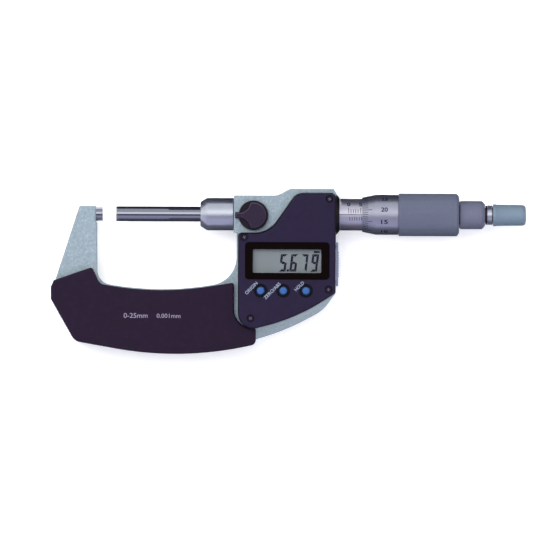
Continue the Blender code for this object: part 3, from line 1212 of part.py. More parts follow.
make_frame()
make_anvil()
make_grips()
make_cover()
make_cover_screws()
make_display()
make_buttons()
make_battery()
make_port()
make_guide()
make_lock()
make_encoder()
make_sleeves()
make_spindle()
make_thimble()
make_ratchet_housing()
make_ratchet_screw()
make_knob()
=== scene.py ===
"""A digital outside micrometer, dressed over its solid model.

All sizes here are in millimetres, in the solid model's frame: the anvil's measuring face is at the
origin, the spindle runs along +X and the display looks along +Z.
"""

import math

import bmesh
import bpy
from mathutils import Matrix, Vector


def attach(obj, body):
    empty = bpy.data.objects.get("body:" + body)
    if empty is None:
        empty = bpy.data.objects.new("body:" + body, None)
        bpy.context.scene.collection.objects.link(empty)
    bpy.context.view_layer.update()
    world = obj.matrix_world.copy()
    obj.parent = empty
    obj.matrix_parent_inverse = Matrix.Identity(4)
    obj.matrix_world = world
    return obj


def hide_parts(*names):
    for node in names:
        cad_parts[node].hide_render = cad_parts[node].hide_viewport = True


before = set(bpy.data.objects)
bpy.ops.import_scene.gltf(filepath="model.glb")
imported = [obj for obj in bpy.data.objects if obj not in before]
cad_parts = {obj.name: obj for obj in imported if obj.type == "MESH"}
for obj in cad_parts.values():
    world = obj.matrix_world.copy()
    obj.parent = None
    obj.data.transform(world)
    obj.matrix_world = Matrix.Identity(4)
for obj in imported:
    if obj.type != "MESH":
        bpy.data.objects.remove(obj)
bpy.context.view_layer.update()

MM = 0.001
CREASE = 32
ROUND = 96
FINE_ROUND = 128
ARC_STEPS = 10
GAP = 0.3
SEAT = 0.05
INK_HEIGHT = 0.02

# Reading, spindle and thimble
READING = 5.679
ZERO_MARK = 104.47
SPINDLE_RADIUS = 3.175
THIMBLE_EDGE = ZERO_MARK + READING
THIMBLE_TAPER_END = THIMBLE_EDGE + 5.85
THIMBLE_STEP = THIMBLE_TAPER_END + 9.7
GRIP_END = THIMBLE_STEP + 25.6
THIMBLE_EDGE_RADIUS = 7.25
THIMBLE_RADIUS = 8.5
THIMBLE_GRIP_RADIUS = 9.05
SLEEVE_RADIUS = 6.72
DIVISIONS = 50

# Heights through the head and the bow
REAR = -10.5
CAVITY_FLOOR = -8.5
BOW_HALF = 4.2
RIM = 4.6
COVER_BACK = 5.2
COVER_INNER = 9.0
COVER_FRONT = 10.5
HEAD_FRONT = 7.5

# Outlines as (x, y, corner radius), anticlockwise
COVER = [
    (57.5, -8.0, 1.8), (57.5, -50.4, 6.6), (82.0, -44.3, 85.0), (99.0, -33.4, 1.5),
    (99.0, 9.0, 2.2), (82.4, 9.0, 5.6), (70.6, -8.0, 11.5),
]
HEAD_UPPER = [
    (55.65, 8.02, 0.3), (55.65, -7.6, 0.3), (57.3, -8.4, 0.3), None,
    (99.1, 9.1, 0.3), (98.1, 10.95, 0.3), (79.4, 10.95, 4.0), (74.4, 8.02, 8.0),
]
HEAD_BOTTOM_LOW = [(57.3, -55.6, 3.0), (78.2, -49.25, 100.0), (99.0, -37.9, 16.0)]
HEAD_BOTTOM_HIGH = [(57.3, -50.6, 6.6), (82.0, -44.5, 85.0), (99.1, -33.6, 1.5)]
THROAT = [
    (56.9, -8.0, 0.0), (56.9, -28.47, 12.0), (25.0, -33.6, 130.0), (-2.1, -29.24, 6.3),
    (-2.35, -3.6, 0.2), (-2.95, -3.45, 0.15), (-2.95, 3.35, 0.3),
]
SCREWS = [(60.1, -9.7), (96.3, 6.6), (96.05, -31.9), (62.9, -44.2)]
BUTTONS = (("button_left", 67.15), ("button_middle", 76.8), ("button_right", 86.45))
BUTTON_ROW = -32.45
WINDOW = (60.6, 96.3, -27.6, -11.9)
LCD = (63.8, 92.9, -24.85, -14.85)
LCD_FRONT = 8.7
LEVER_PLACE = (64.0, -0.4)
BATTERY_PLACE = (80.0, -23.5)
PORT_MIDDLE = -21.15
GRIP_BACK, GRIP_FRONT = 4.5, 6.9
NOSE_RADIUS = 6.88

# Stage: the floor under the head's back, the wall round it, the flags beside the rods
FLOOR = REAR - 0.1
STAGE_MIDDLE = (75, -25)
FLOOR_REACH, FLOOR_LIFT = 4000, 0.35
WALL_RADIUS, WALL_DEPTH, WALL_MIDDLE, WALL_LIFT = 3900, 3000, -1000, 0.95
FLAG_DISTANCE, FLAG_HALF, FLAG_SHARE = 0.8, 0.1, 0.8
FLAGS = (
    ("spindle", 0.3, 41.4, SPINDLE_RADIUS), ("nose", 28.0, 55.6, NOSE_RADIUS),
    ("sleeve", 100.6, THIMBLE_EDGE, SLEEVE_RADIUS), ("thimble", 100.6, 206.0, THIMBLE_GRIP_RADIUS),
)

# Surroundings by angle about the spindle's axis, in degrees from straight up towards +Y
WORLD_STOPS = (
    (-180, (0.05, 0.05, 0.07)), (-112, (0.04, 0.04, 0.06)), (-92, (0.06, 0.06, 0.10)),
    (-80, (0.38, 0.39, 0.55)), (-68, (0.43, 0.44, 0.60)), (-30, (0.50, 0.51, 0.70)),
    (-23, (0.14, 0.12, 0.18)), (-5, (0.14, 0.14, 0.18)), (2, (1.40, 1.41, 1.48)),
    (22, (1.50, 1.51, 1.56)), (29, (0.68, 0.70, 0.74)), (74, (0.60, 0.63, 0.68)),
    (90, (0.34, 0.37, 0.42)), (104, (0.05, 0.05, 0.08)), (130, (0.04, 0.04, 0.06)),
)

# Lamps as (name, place in metres, side, watts), and the camera, in metres
LAMPS = (
    ("key", (-0.12, 0.20, 0.40), 0.45, 2.25), ("fill", (0.10, -0.45, 0.50), 0.5, 1.3),
    ("side", (0.70, -0.05, 0.25), 0.5, 0.6),
)
LAMPS_AIM = (0.060, -0.020, 0.0)
VIEW_WIDTH, VIEW_PLACE, VIEW_TURN = 0.238, (0.0754, -0.02789, 0.5), 0.004


def linear(red, green, blue):
    """A linear colour from 8-bit screen values."""
    return tuple(((value / 255 + 0.055) / 1.055) ** 2.4 for value in (red, green, blue)) + (1.0,)


def new_material(name):
    """A node material, with its nodes, links and shader."""
    made = bpy.data.materials.new(name)
    made.use_nodes = True
    tree = made.node_tree
    return made, tree.nodes, tree.links, tree.nodes["Principled BSDF"]


def matt(name, colour):
    """A plain matt material for the stage."""
    made, nodes, links, shader = new_material(name)
    shader.inputs["Base Color"].default_value = colour
    shader.inputs["Roughness"].default_value = 0.9
    shader.inputs["Specular IOR Level"].default_value = 0.0
    return made, nodes, links, shader


def colour_ramp(nodes, stops):
    """A colour ramp through (position, colour) stops."""
    made = nodes.new("ShaderNodeValToRGB")
    elements = made.color_ramp.elements
    for index, (position, colour) in enumerate(stops):
        element = elements[index] if index < 2 else elements.new(position)
        element.position = position
        element.color = (*colour, 1.0)
    return made


def add_bump(tree, height, distance, strength=1.0):
    """Feeds a height to the shader's normal; the distance is in millimetres."""
    made = tree.nodes.new("ShaderNodeBump")
    made.inputs["Strength"].default_value = strength
    made.inputs["Distance"].default_value = distance * MM
    tree.links.new(height, made.inputs["Height"])
    tree.links.new(made.outputs["Normal"], tree.nodes["Principled BSDF"].inputs["Normal"])


def surface(name, screen, rough, metal=0.0, mottle=0.08, grain=900.0, bump=0.0, stretch=(1, 1, 1),
            spread=0.05, specular=0.5, bump_grain=2500.0):
    """A procedural surface: mottled colour and gloss, with a fine bump in object space."""
    made, nodes, links, shader = new_material(name)
    shader.inputs["Metallic"].default_value = metal
    shader.inputs["Specular IOR Level"].default_value = specular
    place = nodes.new("ShaderNodeTexCoord")
    mapping = nodes.new("ShaderNodeMapping")
    mapping.inputs["Scale"].default_value = stretch
    links.new(place.outputs["Object"], mapping.inputs["Vector"])
    noise = nodes.new("ShaderNodeTexNoise")
    noise.inputs["Scale"].default_value = grain
    noise.inputs["Detail"].default_value = 3.0
    links.new(mapping.outputs["Vector"], noise.inputs["Vector"])
    base = linear(*screen)[:3]
    ramp = colour_ramp(nodes, [(position, [min(value * share, 1.0) for value in base])
                               for position, share in ((0.3, 1 - mottle), (0.7, 1 + mottle))])
    links.new(noise.outputs["Fac"], ramp.inputs["Fac"])
    links.new(ramp.outputs["Color"], shader.inputs["Base Color"])
    gloss = nodes.new("ShaderNodeMapRange")
    gloss.inputs["To Min"].default_value = max(rough - spread, 0.02)
    gloss.inputs["To Max"].default_value = min(rough + spread, 1.0)
    links.new(noise.outputs["Fac"], gloss.inputs["Value"])
    links.new(gloss.outputs["Result"], shader.inputs["Roughness"])
    if bump:
        fine = nodes.new("ShaderNodeTexNoise")
        fine.inputs["Scale"].default_value = bump_grain
        fine.inputs["Detail"].default_value = 2.0
        links.new(mapping.outputs["Vector"], fine.inputs["Vector"])
        add_bump(made.node_tree, fine.outputs["Fac"], bump)
    return made


def hammered_paint():
    """Light blue-grey paint with soft dimples and small pale flecks."""
    made = surface("hammered_paint", (133, 147, 155), 0.45, metal=0.1, mottle=0.14, grain=1100.0,
                   spread=0.1, specular=0.3)
    nodes, links = made.node_tree.nodes, made.node_tree.links
    shader = nodes["Principled BSDF"]
    place = nodes["Texture Coordinate"]
    ramp = nodes["Color Ramp"]
    fleck = nodes.new("ShaderNodeTexVoronoi")
    fleck.inputs["Scale"].default_value = 520.0
    links.new(place.outputs["Object"], fleck.inputs["Vector"])
    pick = colour_ramp(nodes, ((0.12, (0.26, 0.26, 0.26)), (0.3, (0.0, 0.0, 0.0))))
    links.new(fleck.outputs["Distance"], pick.inputs["Fac"])
    mix = nodes.new("ShaderNodeMix")
    mix.data_type = "RGBA"
    links.new(pick.outputs["Color"], mix.inputs[0])
    links.new(ramp.outputs["Color"], mix.inputs[6])
    mix.inputs[7].default_value = linear(182, 196, 205)
    links.new(mix.outputs[2], shader.inputs["Base Color"])
    dimple = nodes.new("ShaderNodeTexVoronoi")
    dimple.feature = "SMOOTH_F1"
    dimple.inputs["Scale"].default_value = 900.0
    links.new(place.outputs["Object"], dimple.inputs["Vector"])
    add_bump(made.node_tree, dimple.outputs["Distance"], 0.10, 0.7)
    return made


def math_node(nodes, links, operation, *inputs):
    """A math node fed by sockets or plain values; returns its output."""
    made = nodes.new("ShaderNodeMath")
    made.operation = operation
    for index, value in enumerate(inputs):
        if isinstance(value, (int, float)):
            made.inputs[index].default_value = value
        else:
            links.new(value, made.inputs[index])
    return made.outputs["Value"]


def knurled(name, screen, rough, metal, around, pitch, depth):
    """A matt surface with a crossed knurl about the spindle's axis."""
    made = surface(name, screen, rough, metal=metal, mottle=0.10, grain=2500)
    nodes, links = made.node_tree.nodes, made.node_tree.links
    shader = nodes["Principled BSDF"]
    split = nodes.new("ShaderNodeSeparateXYZ")
    links.new(nodes["Texture Coordinate"].outputs["Object"], split.inputs["Vector"])
    turn = math_node(nodes, links, "ARCTAN2", split.outputs["Y"], split.outputs["Z"])
    angle = math_node(nodes, links, "MULTIPLY", turn, around / 2)
    along = math_node(nodes, links, "MULTIPLY", split.outputs["X"], math.pi / (pitch * MM))
    waves = []
    for operation in ("ADD", "SUBTRACT"):
        phase = math_node(nodes, links, operation, angle, along)
        waves.append(math_node(nodes, links, "ABSOLUTE", math_node(nodes, links, "SINE", phase)))
    height = math_node(nodes, links, "MINIMUM", *waves)
    add_bump(made.node_tree, height, depth)
    # Colour follows the knurl's height, darker in its valleys and lighter on its crests: painted
    # shade and painted highlight.
    shade = nodes.new("ShaderNodeMapRange")
    shade.inputs["To Min"].default_value = 0.80
    shade.inputs["To Max"].default_value = 1.08
    links.new(height, shade.inputs["Value"])
    mix = nodes.new("ShaderNodeVectorMath")
    mix.operation = "SCALE"
    links.new(nodes["Color Ramp"].outputs["Color"], mix.inputs[0])
    links.new(shade.outputs["Result"], mix.inputs["Scale"])
    links.new(mix.outputs["Vector"], shader.inputs["Base Color"])
    return made


def clear_pane():
    """A thin clear pane: nearly see-through, with a glossy face."""
    made = surface("clear_pane", (20, 20, 24), 0.08, mottle=0.05, spread=0.02)
    made.node_tree.nodes["Principled BSDF"].inputs["Alpha"].default_value = 0.10
    return made


MATERIALS = {
    "paint": hammered_paint(),
    "grip": surface("grip_plastic", (28, 15, 35), 0.60, mottle=0.14, grain=500, bump=0.02,
                    specular=0.18),
    "cover": surface("cover_plastic", (28, 19, 45), 0.50, mottle=0.12, grain=400, bump=0.012,
                     specular=0.2),
    "collar": surface("collar_plastic", (14, 8, 16), 0.45, bump=0.01, specular=0.25),
    "bezel": surface("black_border", (9, 1, 2), 0.22, mottle=0.10, spread=0.03, specular=0.03),
    "pane": clear_pane(),
    "lcd": surface("lcd_face", (128, 137, 140), 0.45, mottle=0.05, grain=120),
    "ink": surface("lcd_ink", (22, 20, 40), 0.45, mottle=0.05, specular=0.1),
    "steel": surface("polished_steel", (168, 170, 180), 0.10, metal=1.0, mottle=0.03, grain=600,
                     stretch=(4, 1, 1), spread=0.02),
    "nose": surface("ground_steel", (214, 217, 226), 0.38, metal=1.0, mottle=0.04,
                    stretch=(6, 1, 1)),
    "chrome": surface("satin_chrome", (191, 192, 205), 0.45, metal=1.0, mottle=0.04, grain=1200,
                      stretch=(6, 1, 1)),
    "sleeve": surface("satin_sleeve", (222, 219, 230), 0.45, metal=1.0, mottle=0.04, grain=1200,
                      stretch=(6, 1, 1)),
    "knurl": knurled("matt_knurl", (116, 122, 142), 0.58, 0.45, 110, 0.5, 0.10),
    "housing": knurled("matt_housing", (127, 130, 151), 0.56, 0.5, 72, 0.5, 0.08),
    "knob": surface("matt_knob", (122, 140, 155), 0.55, metal=0.4, grain=2500,
                    bump=0.02, bump_grain=4000),
    # A darker copy of the cover's plastic for its rounded rim: painted shade.
    "cover_painted_shade": surface("cover_painted_shade", (14, 9, 26), 0.50, mottle=0.12, grain=400, specular=0.15),
    # A darker copy of the lever's plastic for its low disc: painted shade.
    "lever_painted_shade": surface("lever_painted_shade", (20, 12, 22), 0.45, mottle=0.12, bump=0.008, specular=0.2),
    # A lighter copy of the lever's plastic for the ridge's sloping faces: a painted highlight.
    "lever_painted_highlight": surface("lever_painted_highlight", (56, 46, 72), 0.35, mottle=0.10, specular=0.4),
    "lever": surface("lever_plastic", (33, 20, 41), 0.40, mottle=0.10, bump=0.008, specular=0.25),
    "button": surface("button_rubber", (46, 86, 142), 0.50, mottle=0.06, bump=0.006, specular=0.3),
    # Near-black discs in the button recesses: painted shade.
    "well": surface("recess_painted_shade", (9, 5, 15), 0.70, mottle=0.10, bump=0.006, specular=0.2),
    "grip_print": surface("grip_print", (132, 122, 142), 0.60, mottle=0.05, specular=0.2),
    "print": surface("pale_print", (138, 148, 166), 0.60, mottle=0.05, specular=0.2),
    "mark": surface("dark_mark", (30, 34, 56), 0.60, specular=0.2),
    "port": surface("port_plastic", (150, 156, 178), 0.50, mottle=0.05, bump=0.008),
    "screw": surface("dark_screw", (56, 48, 62), 0.40, metal=1.0, mottle=0.10),
    "recess": surface("cross_recess", (118, 110, 128), 0.50, metal=0.3),
    "groove": surface("dark_groove", (44, 36, 46), 0.45, metal=0.6),
    "rubber": surface("black_rubber", (22, 22, 26), 0.75, mottle=0.10, bump=0.01),
    "cap": surface("cap_metal", (178, 178, 186), 0.32, metal=1.0, mottle=0.05, stretch=(4, 1, 1)),
    "board": surface("board_green", (28, 92, 60), 0.50),
    "brass": surface("brass_metal", (190, 160, 90), 0.35, metal=1.0, mottle=0.06),
    "white": surface("white_plastic", (214, 214, 208), 0.50, mottle=0.04),
}


def object_from(build, name):
    """An object from a bmesh in millimetres, smooth-shaded up to the crease angle."""
    bmesh.ops.recalc_face_normals(build, faces=build.faces)
    bmesh.ops.scale(build, vec=(MM, MM, MM), verts=build.verts)
    mesh = bpy.data.meshes.new(name)
    build.to_mesh(mesh)
    build.free()
    mesh.shade_smooth()
    mesh.set_sharp_from_angle(angle=math.radians(CREASE))
    made = bpy.data.objects.new(name, mesh)
    bpy.context.scene.collection.objects.link(made)
    return made


def evaluated(target):
    """Applies the object's modifiers to its mesh."""
    bpy.context.view_layer.update()
    graph = bpy.context.evaluated_depsgraph_get()
    mesh = bpy.data.meshes.new_from_object(target.evaluated_get(graph))
    target.modifiers.clear()
    old = target.data
    target.data = mesh
    bpy.data.meshes.remove(old)


def carve(target, cutters, operation="DIFFERENCE"):
    """Cuts other bodies from the target, or joins them to it, and removes them."""
    for cutter in cutters:
        step = target.modifiers.new("carve", "BOOLEAN")
        step.operation = operation
        step.solver = "EXACT"
        step.object = cutter
    evaluated(target)
    for cutter in cutters:
        bpy.data.objects.remove(cutter, do_unlink=True)


def smooth(target, crease=CREASE):
    """Creases and evens out the shading of a piece with large flat faces."""
    target.data.shade_smooth()
    target.data.set_sharp_from_angle(angle=math.radians(crease))
    step = target.modifiers.new("normals", "WEIGHTED_NORMAL")
    step.keep_sharp = True
    evaluated(target)


def dress(target, body, slot, material, *nodes):
    """Gives a piece its body and material, and hides the nodes that it stands for; the slot is not
    used.
    """
    target.data.materials.clear()
    target.data.materials.append(MATERIALS[material])
    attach(target, body)
    if nodes:
        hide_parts(*nodes)
    return target


def parallel(corners, distance, closed=True):
    """The outline moved outwards by a distance."""
    edges = []
    count = len(corners)
    for i in range(count if closed else count - 1):
        start = Vector(corners[i][:2])
        end = Vector(corners[(i + 1) % count][:2])
        along = (end - start).normalized()
        edges.append((start + Vector((along.y, -along.x)) * distance, along))
    moved = []
    for i, (x, y, radius) in enumerate(corners):
        if not closed and i in (0, count - 1):
            start, along = edges[0] if i == 0 else edges[-1]
            point = start + along * (Vector((x, y)) - start).dot(along)
            moved.append((point.x, point.y, radius))
            continue
        first, before = edges[i - 1]
        second, after = edges[i]
        turn = before.x * after.y - before.y * after.x
        offset = second - first
        point = first + before * ((offset.x * after.y - offset.y * after.x) / turn)
        grown = radius + distance if turn > 0 else radius - distance
        moved.append((point.x, point.y, max(grown, SEAT) if radius else 0.0))
    return moved


def rounded(corners, steps=ARC_STEPS):
    """Points of a closed outline, each corner's radius as an arc."""
    points = []
    count = len(corners)
    for i, (x, y, radius) in enumerate(corners):
        corner = Vector((x, y))
        to_last = (Vector(corners[i - 1][:2]) - corner).normalized()
        to_next = (Vector(corners[(i + 1) % count][:2]) - corner).normalized()
        if radius <= 0:
            points.append(corner)
            continue
        half = to_last.angle(to_next) / 2
        start = corner + to_last * (radius / math.tan(half))
        centre = corner + (to_last + to_next).normalized() * (radius / math.sin(half))
        turn = to_last.x * to_next.y - to_last.y * to_next.x
        sweep = (math.pi - 2 * half) * (-1 if turn > 0 else 1)
        for k in range(steps + 1):
            points.append(centre + Matrix.Rotation(sweep * k / steps, 2) @ (start - centre))
    return points


def lofted(name, rings):
    """A closed body through rings of equally many points, each with its height."""
    build = bmesh.new()
    loops = [[build.verts.new((x, y, z)) for x, y in points] for points, z in rings]
    count = len(loops[0])
    for lower, upper in zip(loops, loops[1:]):
        for i in range(count):
            after = (i + 1) % count
            build.faces.new((lower[i], lower[after], upper[after], upper[i]))
    bmesh.ops.triangulate(build, faces=build.faces)
    build.faces.new(list(reversed(loops[0])))
    build.faces.new(loops[-1])
    return object_from(build, name)


def edge_rings(z, radius, rising, steps=4):
    """Insets and heights that round a plate's edge: rising ends at the face, falling starts."""
    rings = []
    for k in range(steps + 1):
        angle = math.pi / 2 * k / steps
        rings.append((-radius * (1 - math.cos(angle)), radius * math.sin(angle)))
    if rising:
        return [(inset, z - radius + lift) for inset, lift in rings]
    return [(inset, z + radius - lift) for inset, lift in reversed(rings)]


def plate(name, corners, low, high, low_round=0.0, high_round=0.0, steps=ARC_STEPS):
    """A plate between two heights with rounded front and rear edges."""
    rings = edge_rings(low, low_round, False) if low_round else [(0.0, low)]
    rings += edge_rings(high, high_round, True) if high_round else [(0.0, high)]
    return lofted(name, [(rounded(parallel(corners, inset), steps), z) for inset, z in rings])


def turned(name, profile, segments=ROUND, along="X", place=(0, 0, 0), teeth=0):
    """A lathe-turned body from (length, radius[, tooth depth]) points, with teeth if wanted."""
    build = bmesh.new()
    count = teeth * 4 if teeth else segments
    loops = []
    for point in profile:
        length, radius = point[:2]
        depth = point[2] if len(point) > 2 else 0.0
        if radius < 1e-6:
            loops.append([build.verts.new((length, 0, 0))])
            continue
        ring = []
        for k in range(count):
            r = radius - depth * (0.0, 0.5, 1.0, 0.5)[k % 4] if teeth else radius
            angle = math.tau * k / count
            ring.append(build.verts.new((length, r * math.sin(angle), r * math.cos(angle))))
        loops.append(ring)
    closed = len(loops[0]) > 1
    pairs = list(zip(loops, loops[1:])) + ([(loops[-1], loops[0])] if closed else [])
    for before, after in pairs:
        for k in range(count):
            n = (k + 1) % count
            if len(before) == 1:
                build.faces.new((before[0], after[k], after[n]))
            elif len(after) == 1:
                build.faces.new((before[k], after[0], before[n]))
            else:
                build.faces.new((before[k], after[k], after[n], before[n]))
    if along == "Z":
        bmesh.ops.rotate(build, verts=build.verts, cent=(0, 0, 0),
                         matrix=Matrix.Rotation(-math.pi / 2, 3, "Y"))
    bmesh.ops.translate(build, verts=build.verts, vec=place)
    return object_from(build, name)


def profile_of(corners, steps=4):
    """A lathe profile from (length, radius, corner radius) points."""
    return [(point.x, max(point.y, 0.0)) for point in rounded(corners, steps)]


def block(name, low, high):
    build = bmesh.new()
    bmesh.ops.create_cube(build, size=1.0)
    for vert in build.verts:
        for axis in range(3):
            vert.co[axis] = high[axis] if vert.co[axis] > 0 else low[axis]
    return object_from(build, name)


def pillars(name, places, radius, low, high, segments=48):
    """One body of upright round bars."""
    build = bmesh.new()
    for x, y in places:
        bmesh.ops.create_cone(build, cap_ends=True, segments=segments, radius1=radius,
                              radius2=radius, depth=high - low,
                              matrix=Matrix.Translation((x, y, (low + high) / 2)))
    return object_from(build, name)


def rectangle(left, right, bottom, top, radius):
    corners = ((left, top), (left, bottom), (right, bottom), (right, top))
    return [(x, y, radius) for x, y in corners]


def grown(sides, by):
    left, right, bottom, top = sides
    return left - by, right + by, bottom - by, top + by


def shifted(corners, place):
    return [(x + place[0], y + place[1], radius) for x, y, radius in corners]


def bulged(first, last, radius, ease):
    """Corner below two points whose rounding starts this far from each of them."""
    across, up = last[0] - first[0], last[1] - first[1]
    half = math.hypot(across, up) / 2
    turn = math.asin(half / math.hypot(radius, ease)) - math.atan2(ease, radius)
    drop = math.tan(turn) / 2
    return (first[0] + across / 2 + up * drop, first[1] + up / 2 - across * drop, radius)


def height_at(first, second, x):
    return first[1] + (x - first[0]) / (second[0] - first[0]) * (second[1] - first[1])


def grip_outer():
    bend, end = (1.3, -56.55), (65.25, -55.35)
    return [
        (-20.8, -28.35, 0.3), (-22.0, -31.1, 0.8), (-22.0, -36.3, 1.5), (-11.8, -54.25, 5.0),
        (*bend, 0.0), bulged(bend, end, 144.0, 4.1), (*end, 2.5),
    ]


def grip_corners():
    """Outline of a grip plate."""
    floor = parallel(THROAT, -0.4, closed=False)
    foot = -1.1
    return grip_outer() + [
        (65.25, -48.4, 1.0), (55.85, -48.4, 8.2),
        (55.85, height_at(floor[1], floor[2], 55.85), 1.0),
        floor[2], (foot, height_at(floor[2], floor[3], foot), 3.0), (-4.5, -22.65, 1.3),
    ]


def bow_corners():
    """Outline of the bow, whose edge stands a little inside the grip plates."""
    outer = parallel(grip_outer(), -0.6, closed=False)
    return [(-9.95, 3.35, 0.3)] + outer + [(outer[-1][0], -8.0, 0.0)] + THROAT


def head_corners(bottom):
    at = HEAD_UPPER.index(None)
    return HEAD_UPPER[:at] + bottom + HEAD_UPPER[at + 1:]


def make_frame():
    """The painted casting, with its head, bow and the openings that its parts sit in."""
    low, high = head_corners(HEAD_BOTTOM_LOW), head_corners(HEAD_BOTTOM_HIGH)
    rings = [(rounded(parallel(low, inset)), z) for inset, z in edge_rings(REAR, 0.8, False)]
    rings += [(rounded(low), -1.5), (rounded(high), RIM - 0.6)]
    for inset, z in edge_rings(HEAD_FRONT, 0.45, True):
        rings.append((rounded(parallel(high, inset)), z))
    casting = lofted("frame_casting", rings)
    bow = plate("bow", bow_corners(), -BOW_HALF, BOW_HALF, 0.7, 0.7)
    carve(casting, [bow], "UNION")
    pocket = plate("pocket", parallel(COVER, GAP), RIM, 14)
    hollow = plate("hollow", parallel(COVER, -1.9), CAVITY_FLOOR, 14)
    posts = pillars("posts", SCREWS, 1.9, -12, 15)
    boss = turned("boss", [(94.5, 0), (94.5, 7.8), (101, 7.8), (101, 0)])
    well = pillars("well", [BATTERY_PLACE], 8.8, -12, -3.65)
    carve(hollow, [posts, well])
    grips = [plate("grip_front", parallel(grip_corners(), GAP), BOW_HALF, 14),
             plate("grip_rear", parallel(grip_corners(), GAP), -14, -BOW_HALF)]
    carve(casting, [pocket, hollow] + grips)
    holes = [
        pillars("cap_hole", [BATTERY_PLACE], 7.2, -12, -7.8),
        pillars("cell_hole", [BATTERY_PLACE], 6.1, -12, -3),
        pillars("screw_holes", SCREWS, 1.0, 0.3, 6),
        pillars("lock_hole", [LEVER_PLACE], 2.5, 0, 9),
        turned("guide_bore", [(55, 0), (55, 5.5), (60.35, 5.5), (60.35, 3.5), (88, 3.5), (88, 0)]),
        turned("sleeve_bore", [(94, 0), (94, 6.0), (101, 6.0), (101, 0)]),
        turned("anvil_bore", [(-7.7, 0), (-7.7, 2.2), (-2, 2.2), (-2, 0)]),
        block("port_hole", (96, PORT_MIDDLE - 4.5, -4.2), (101, PORT_MIDDLE + 4.5, 0.2)),
    ]
    carve(casting, [boss], "UNION")
    carve(casting, [turned("trim", [(99.1, 0), (99.1, 9), (102, 9), (102, 0)])] + holes)
    smooth(casting)
    dress(casting, "frame", "frame_paint", "paint", "frame")


def make_grips():
    """The front and rear grip plates, with soft edges."""
    front = plate("grip_front_plate", grip_corners(), GRIP_BACK, GRIP_FRONT, 0.0, 0.8)
    rear = plate("grip_rear_plate", grip_corners(), -GRIP_FRONT, -GRIP_BACK, 0.8, 0.0)
    for piece, node in ((front, "front_grip"), (rear, "rear_grip")):
        smooth(piece)
        dress(piece, "frame", "grip_plastic", "grip", node)


def shade_edges(target, material, low, high):
    """Gives the faces that lean between the two limits another material: painted shade with a
    darker one, a painted highlight with a lighter one.
    """
    target.data.materials.append(MATERIALS[material])
    place = len(target.data.materials) - 1
    for face in target.data.polygons:
        if low < face.normal.z < high:
            face.material_index = place


def make_cover():
    """The front cover, with its window, button recesses and countersunk screw holes."""
    cover = plate("cover_shell", COVER, COVER_BACK, COVER_FRONT, 0.0, 0.75)
    inside = plate("inside", parallel(COVER, -1.5), 4, COVER_INNER)
    posts = pillars("posts", SCREWS, 1.9, 3, 15)
    carve(inside, [posts])
    window = rectangle(*grown(WINDOW, 0.15), 1.6)
    light = rectangle(*grown(LCD, 1.2), 0.5)
    columns = [(x, BUTTON_ROW) for _, x in BUTTONS]
    carve(cover, [
        inside,
        plate("window", window, 9.4, 12),
        plate("light", light, 8, 12),
        pillars("recesses", columns, 2.95, 9.9, 12, 64),
        pillars("button_holes", columns, 2.0, 8, 12, 64),
        pillars("heads", SCREWS, 1.6, COVER_FRONT - 1.1, 12),
        pillars("shanks", SCREWS, 1.0, 4, 12),
        turned("sleeve_room", [(94.2, 0), (94.2, 8.1), (101, 8.1), (101, 0)]),
    ])
    smooth(cover)
    dress(cover, "frame", "cover_plastic", "cover", "front_cover")
    # The rim's sloping faces take the darker plastic: painted shade along the cover's edge.
    shade_edges(cover, "cover_painted_shade", 0.05, 0.9)


def make_window():
    """The black border round the display, its clear pane and the display's face."""
    border = plate("window_border", rectangle(*WINDOW, 1.5), 9.5, COVER_FRONT - 0.04, 0.0, 0.12)
    carve(border, [plate("opening", rectangle(*LCD, 0.35), 8, 12)])
    smooth(border)
    dress(border, "frame", "bezel_glass", "bezel", "display_window")
    pane = plate("window_pane", parallel(rectangle(*LCD, 0.35), -0.03), 10.1, COVER_FRONT - 0.06)
    dress(pane, "frame", "bezel_glass", "pane")
    face = plate("lcd_face", rectangle(*grown(LCD, 0.7), 0.3), 7.6, LCD_FRONT)
    dress(face, "frame", "display", "lcd", "lcd_panel")


def segment_shapes(width, height, stroke):
    """The seven strokes of a display digit as polygons, mitred where they meet."""
    gap, half, middle = 0.04, stroke / 2, height / 2

    def end_bar(points):
        return [(x, height - y) for x, y in reversed(points)]

    def other_side(points):
        return [(width - x, y) for x, y in reversed(points)]

    lower = [(gap, 0), (width - gap, 0), (width - gap - stroke, stroke), (gap + stroke, stroke)]
    upright = [(0, gap), (stroke, gap + stroke), (stroke, middle - half - gap),
               (half, middle - gap), (0, middle - gap)]
    near, far = stroke + gap, width - stroke - gap
    centre = [(half + gap, middle), (near, middle - half), (far, middle - half),
              (width - half - gap, middle), (far, middle + half), (near, middle + half)]
    return {
        "a": end_bar(lower), "g": centre, "d": lower,
        "f": end_bar(upright), "b": other_side(end_bar(upright)),
        "e": upright, "c": other_side(upright),
    }


def make_digits():
    """The reading on the display, with its decimal point and unit."""
    lit = {"5": "afgcd", "6": "afgedc", "7": "abc", "9": "abfgcd"}
    width, height, stroke, slant = 2.9, 7.4, 0.98, math.tan(math.radians(7))
    first, pitch, point, base = 74.85, 4.45, 78.15, -24.3
    build = bmesh.new()
    z = LCD_FRONT + INK_HEIGHT

    def polygon(points, x0):
        build.faces.new([build.verts.new((x0 + x + y * slant, base + y, z)) for x, y in points])

    for index, digit in enumerate("5679"):
        shapes = segment_shapes(width, height, stroke)
        for key in lit[digit]:
            polygon(shapes[key], first + pitch * index)
    polygon([(0, 0), (stroke, 0), (stroke, stroke), (0, stroke)], point)
    dress(object_from(build, "display_digits"), "frame", "display", "ink")
    words("display_unit", "mm", (91.0, -15.95, z), 2.5, 0.95, "ink", "display", bold=0.09)


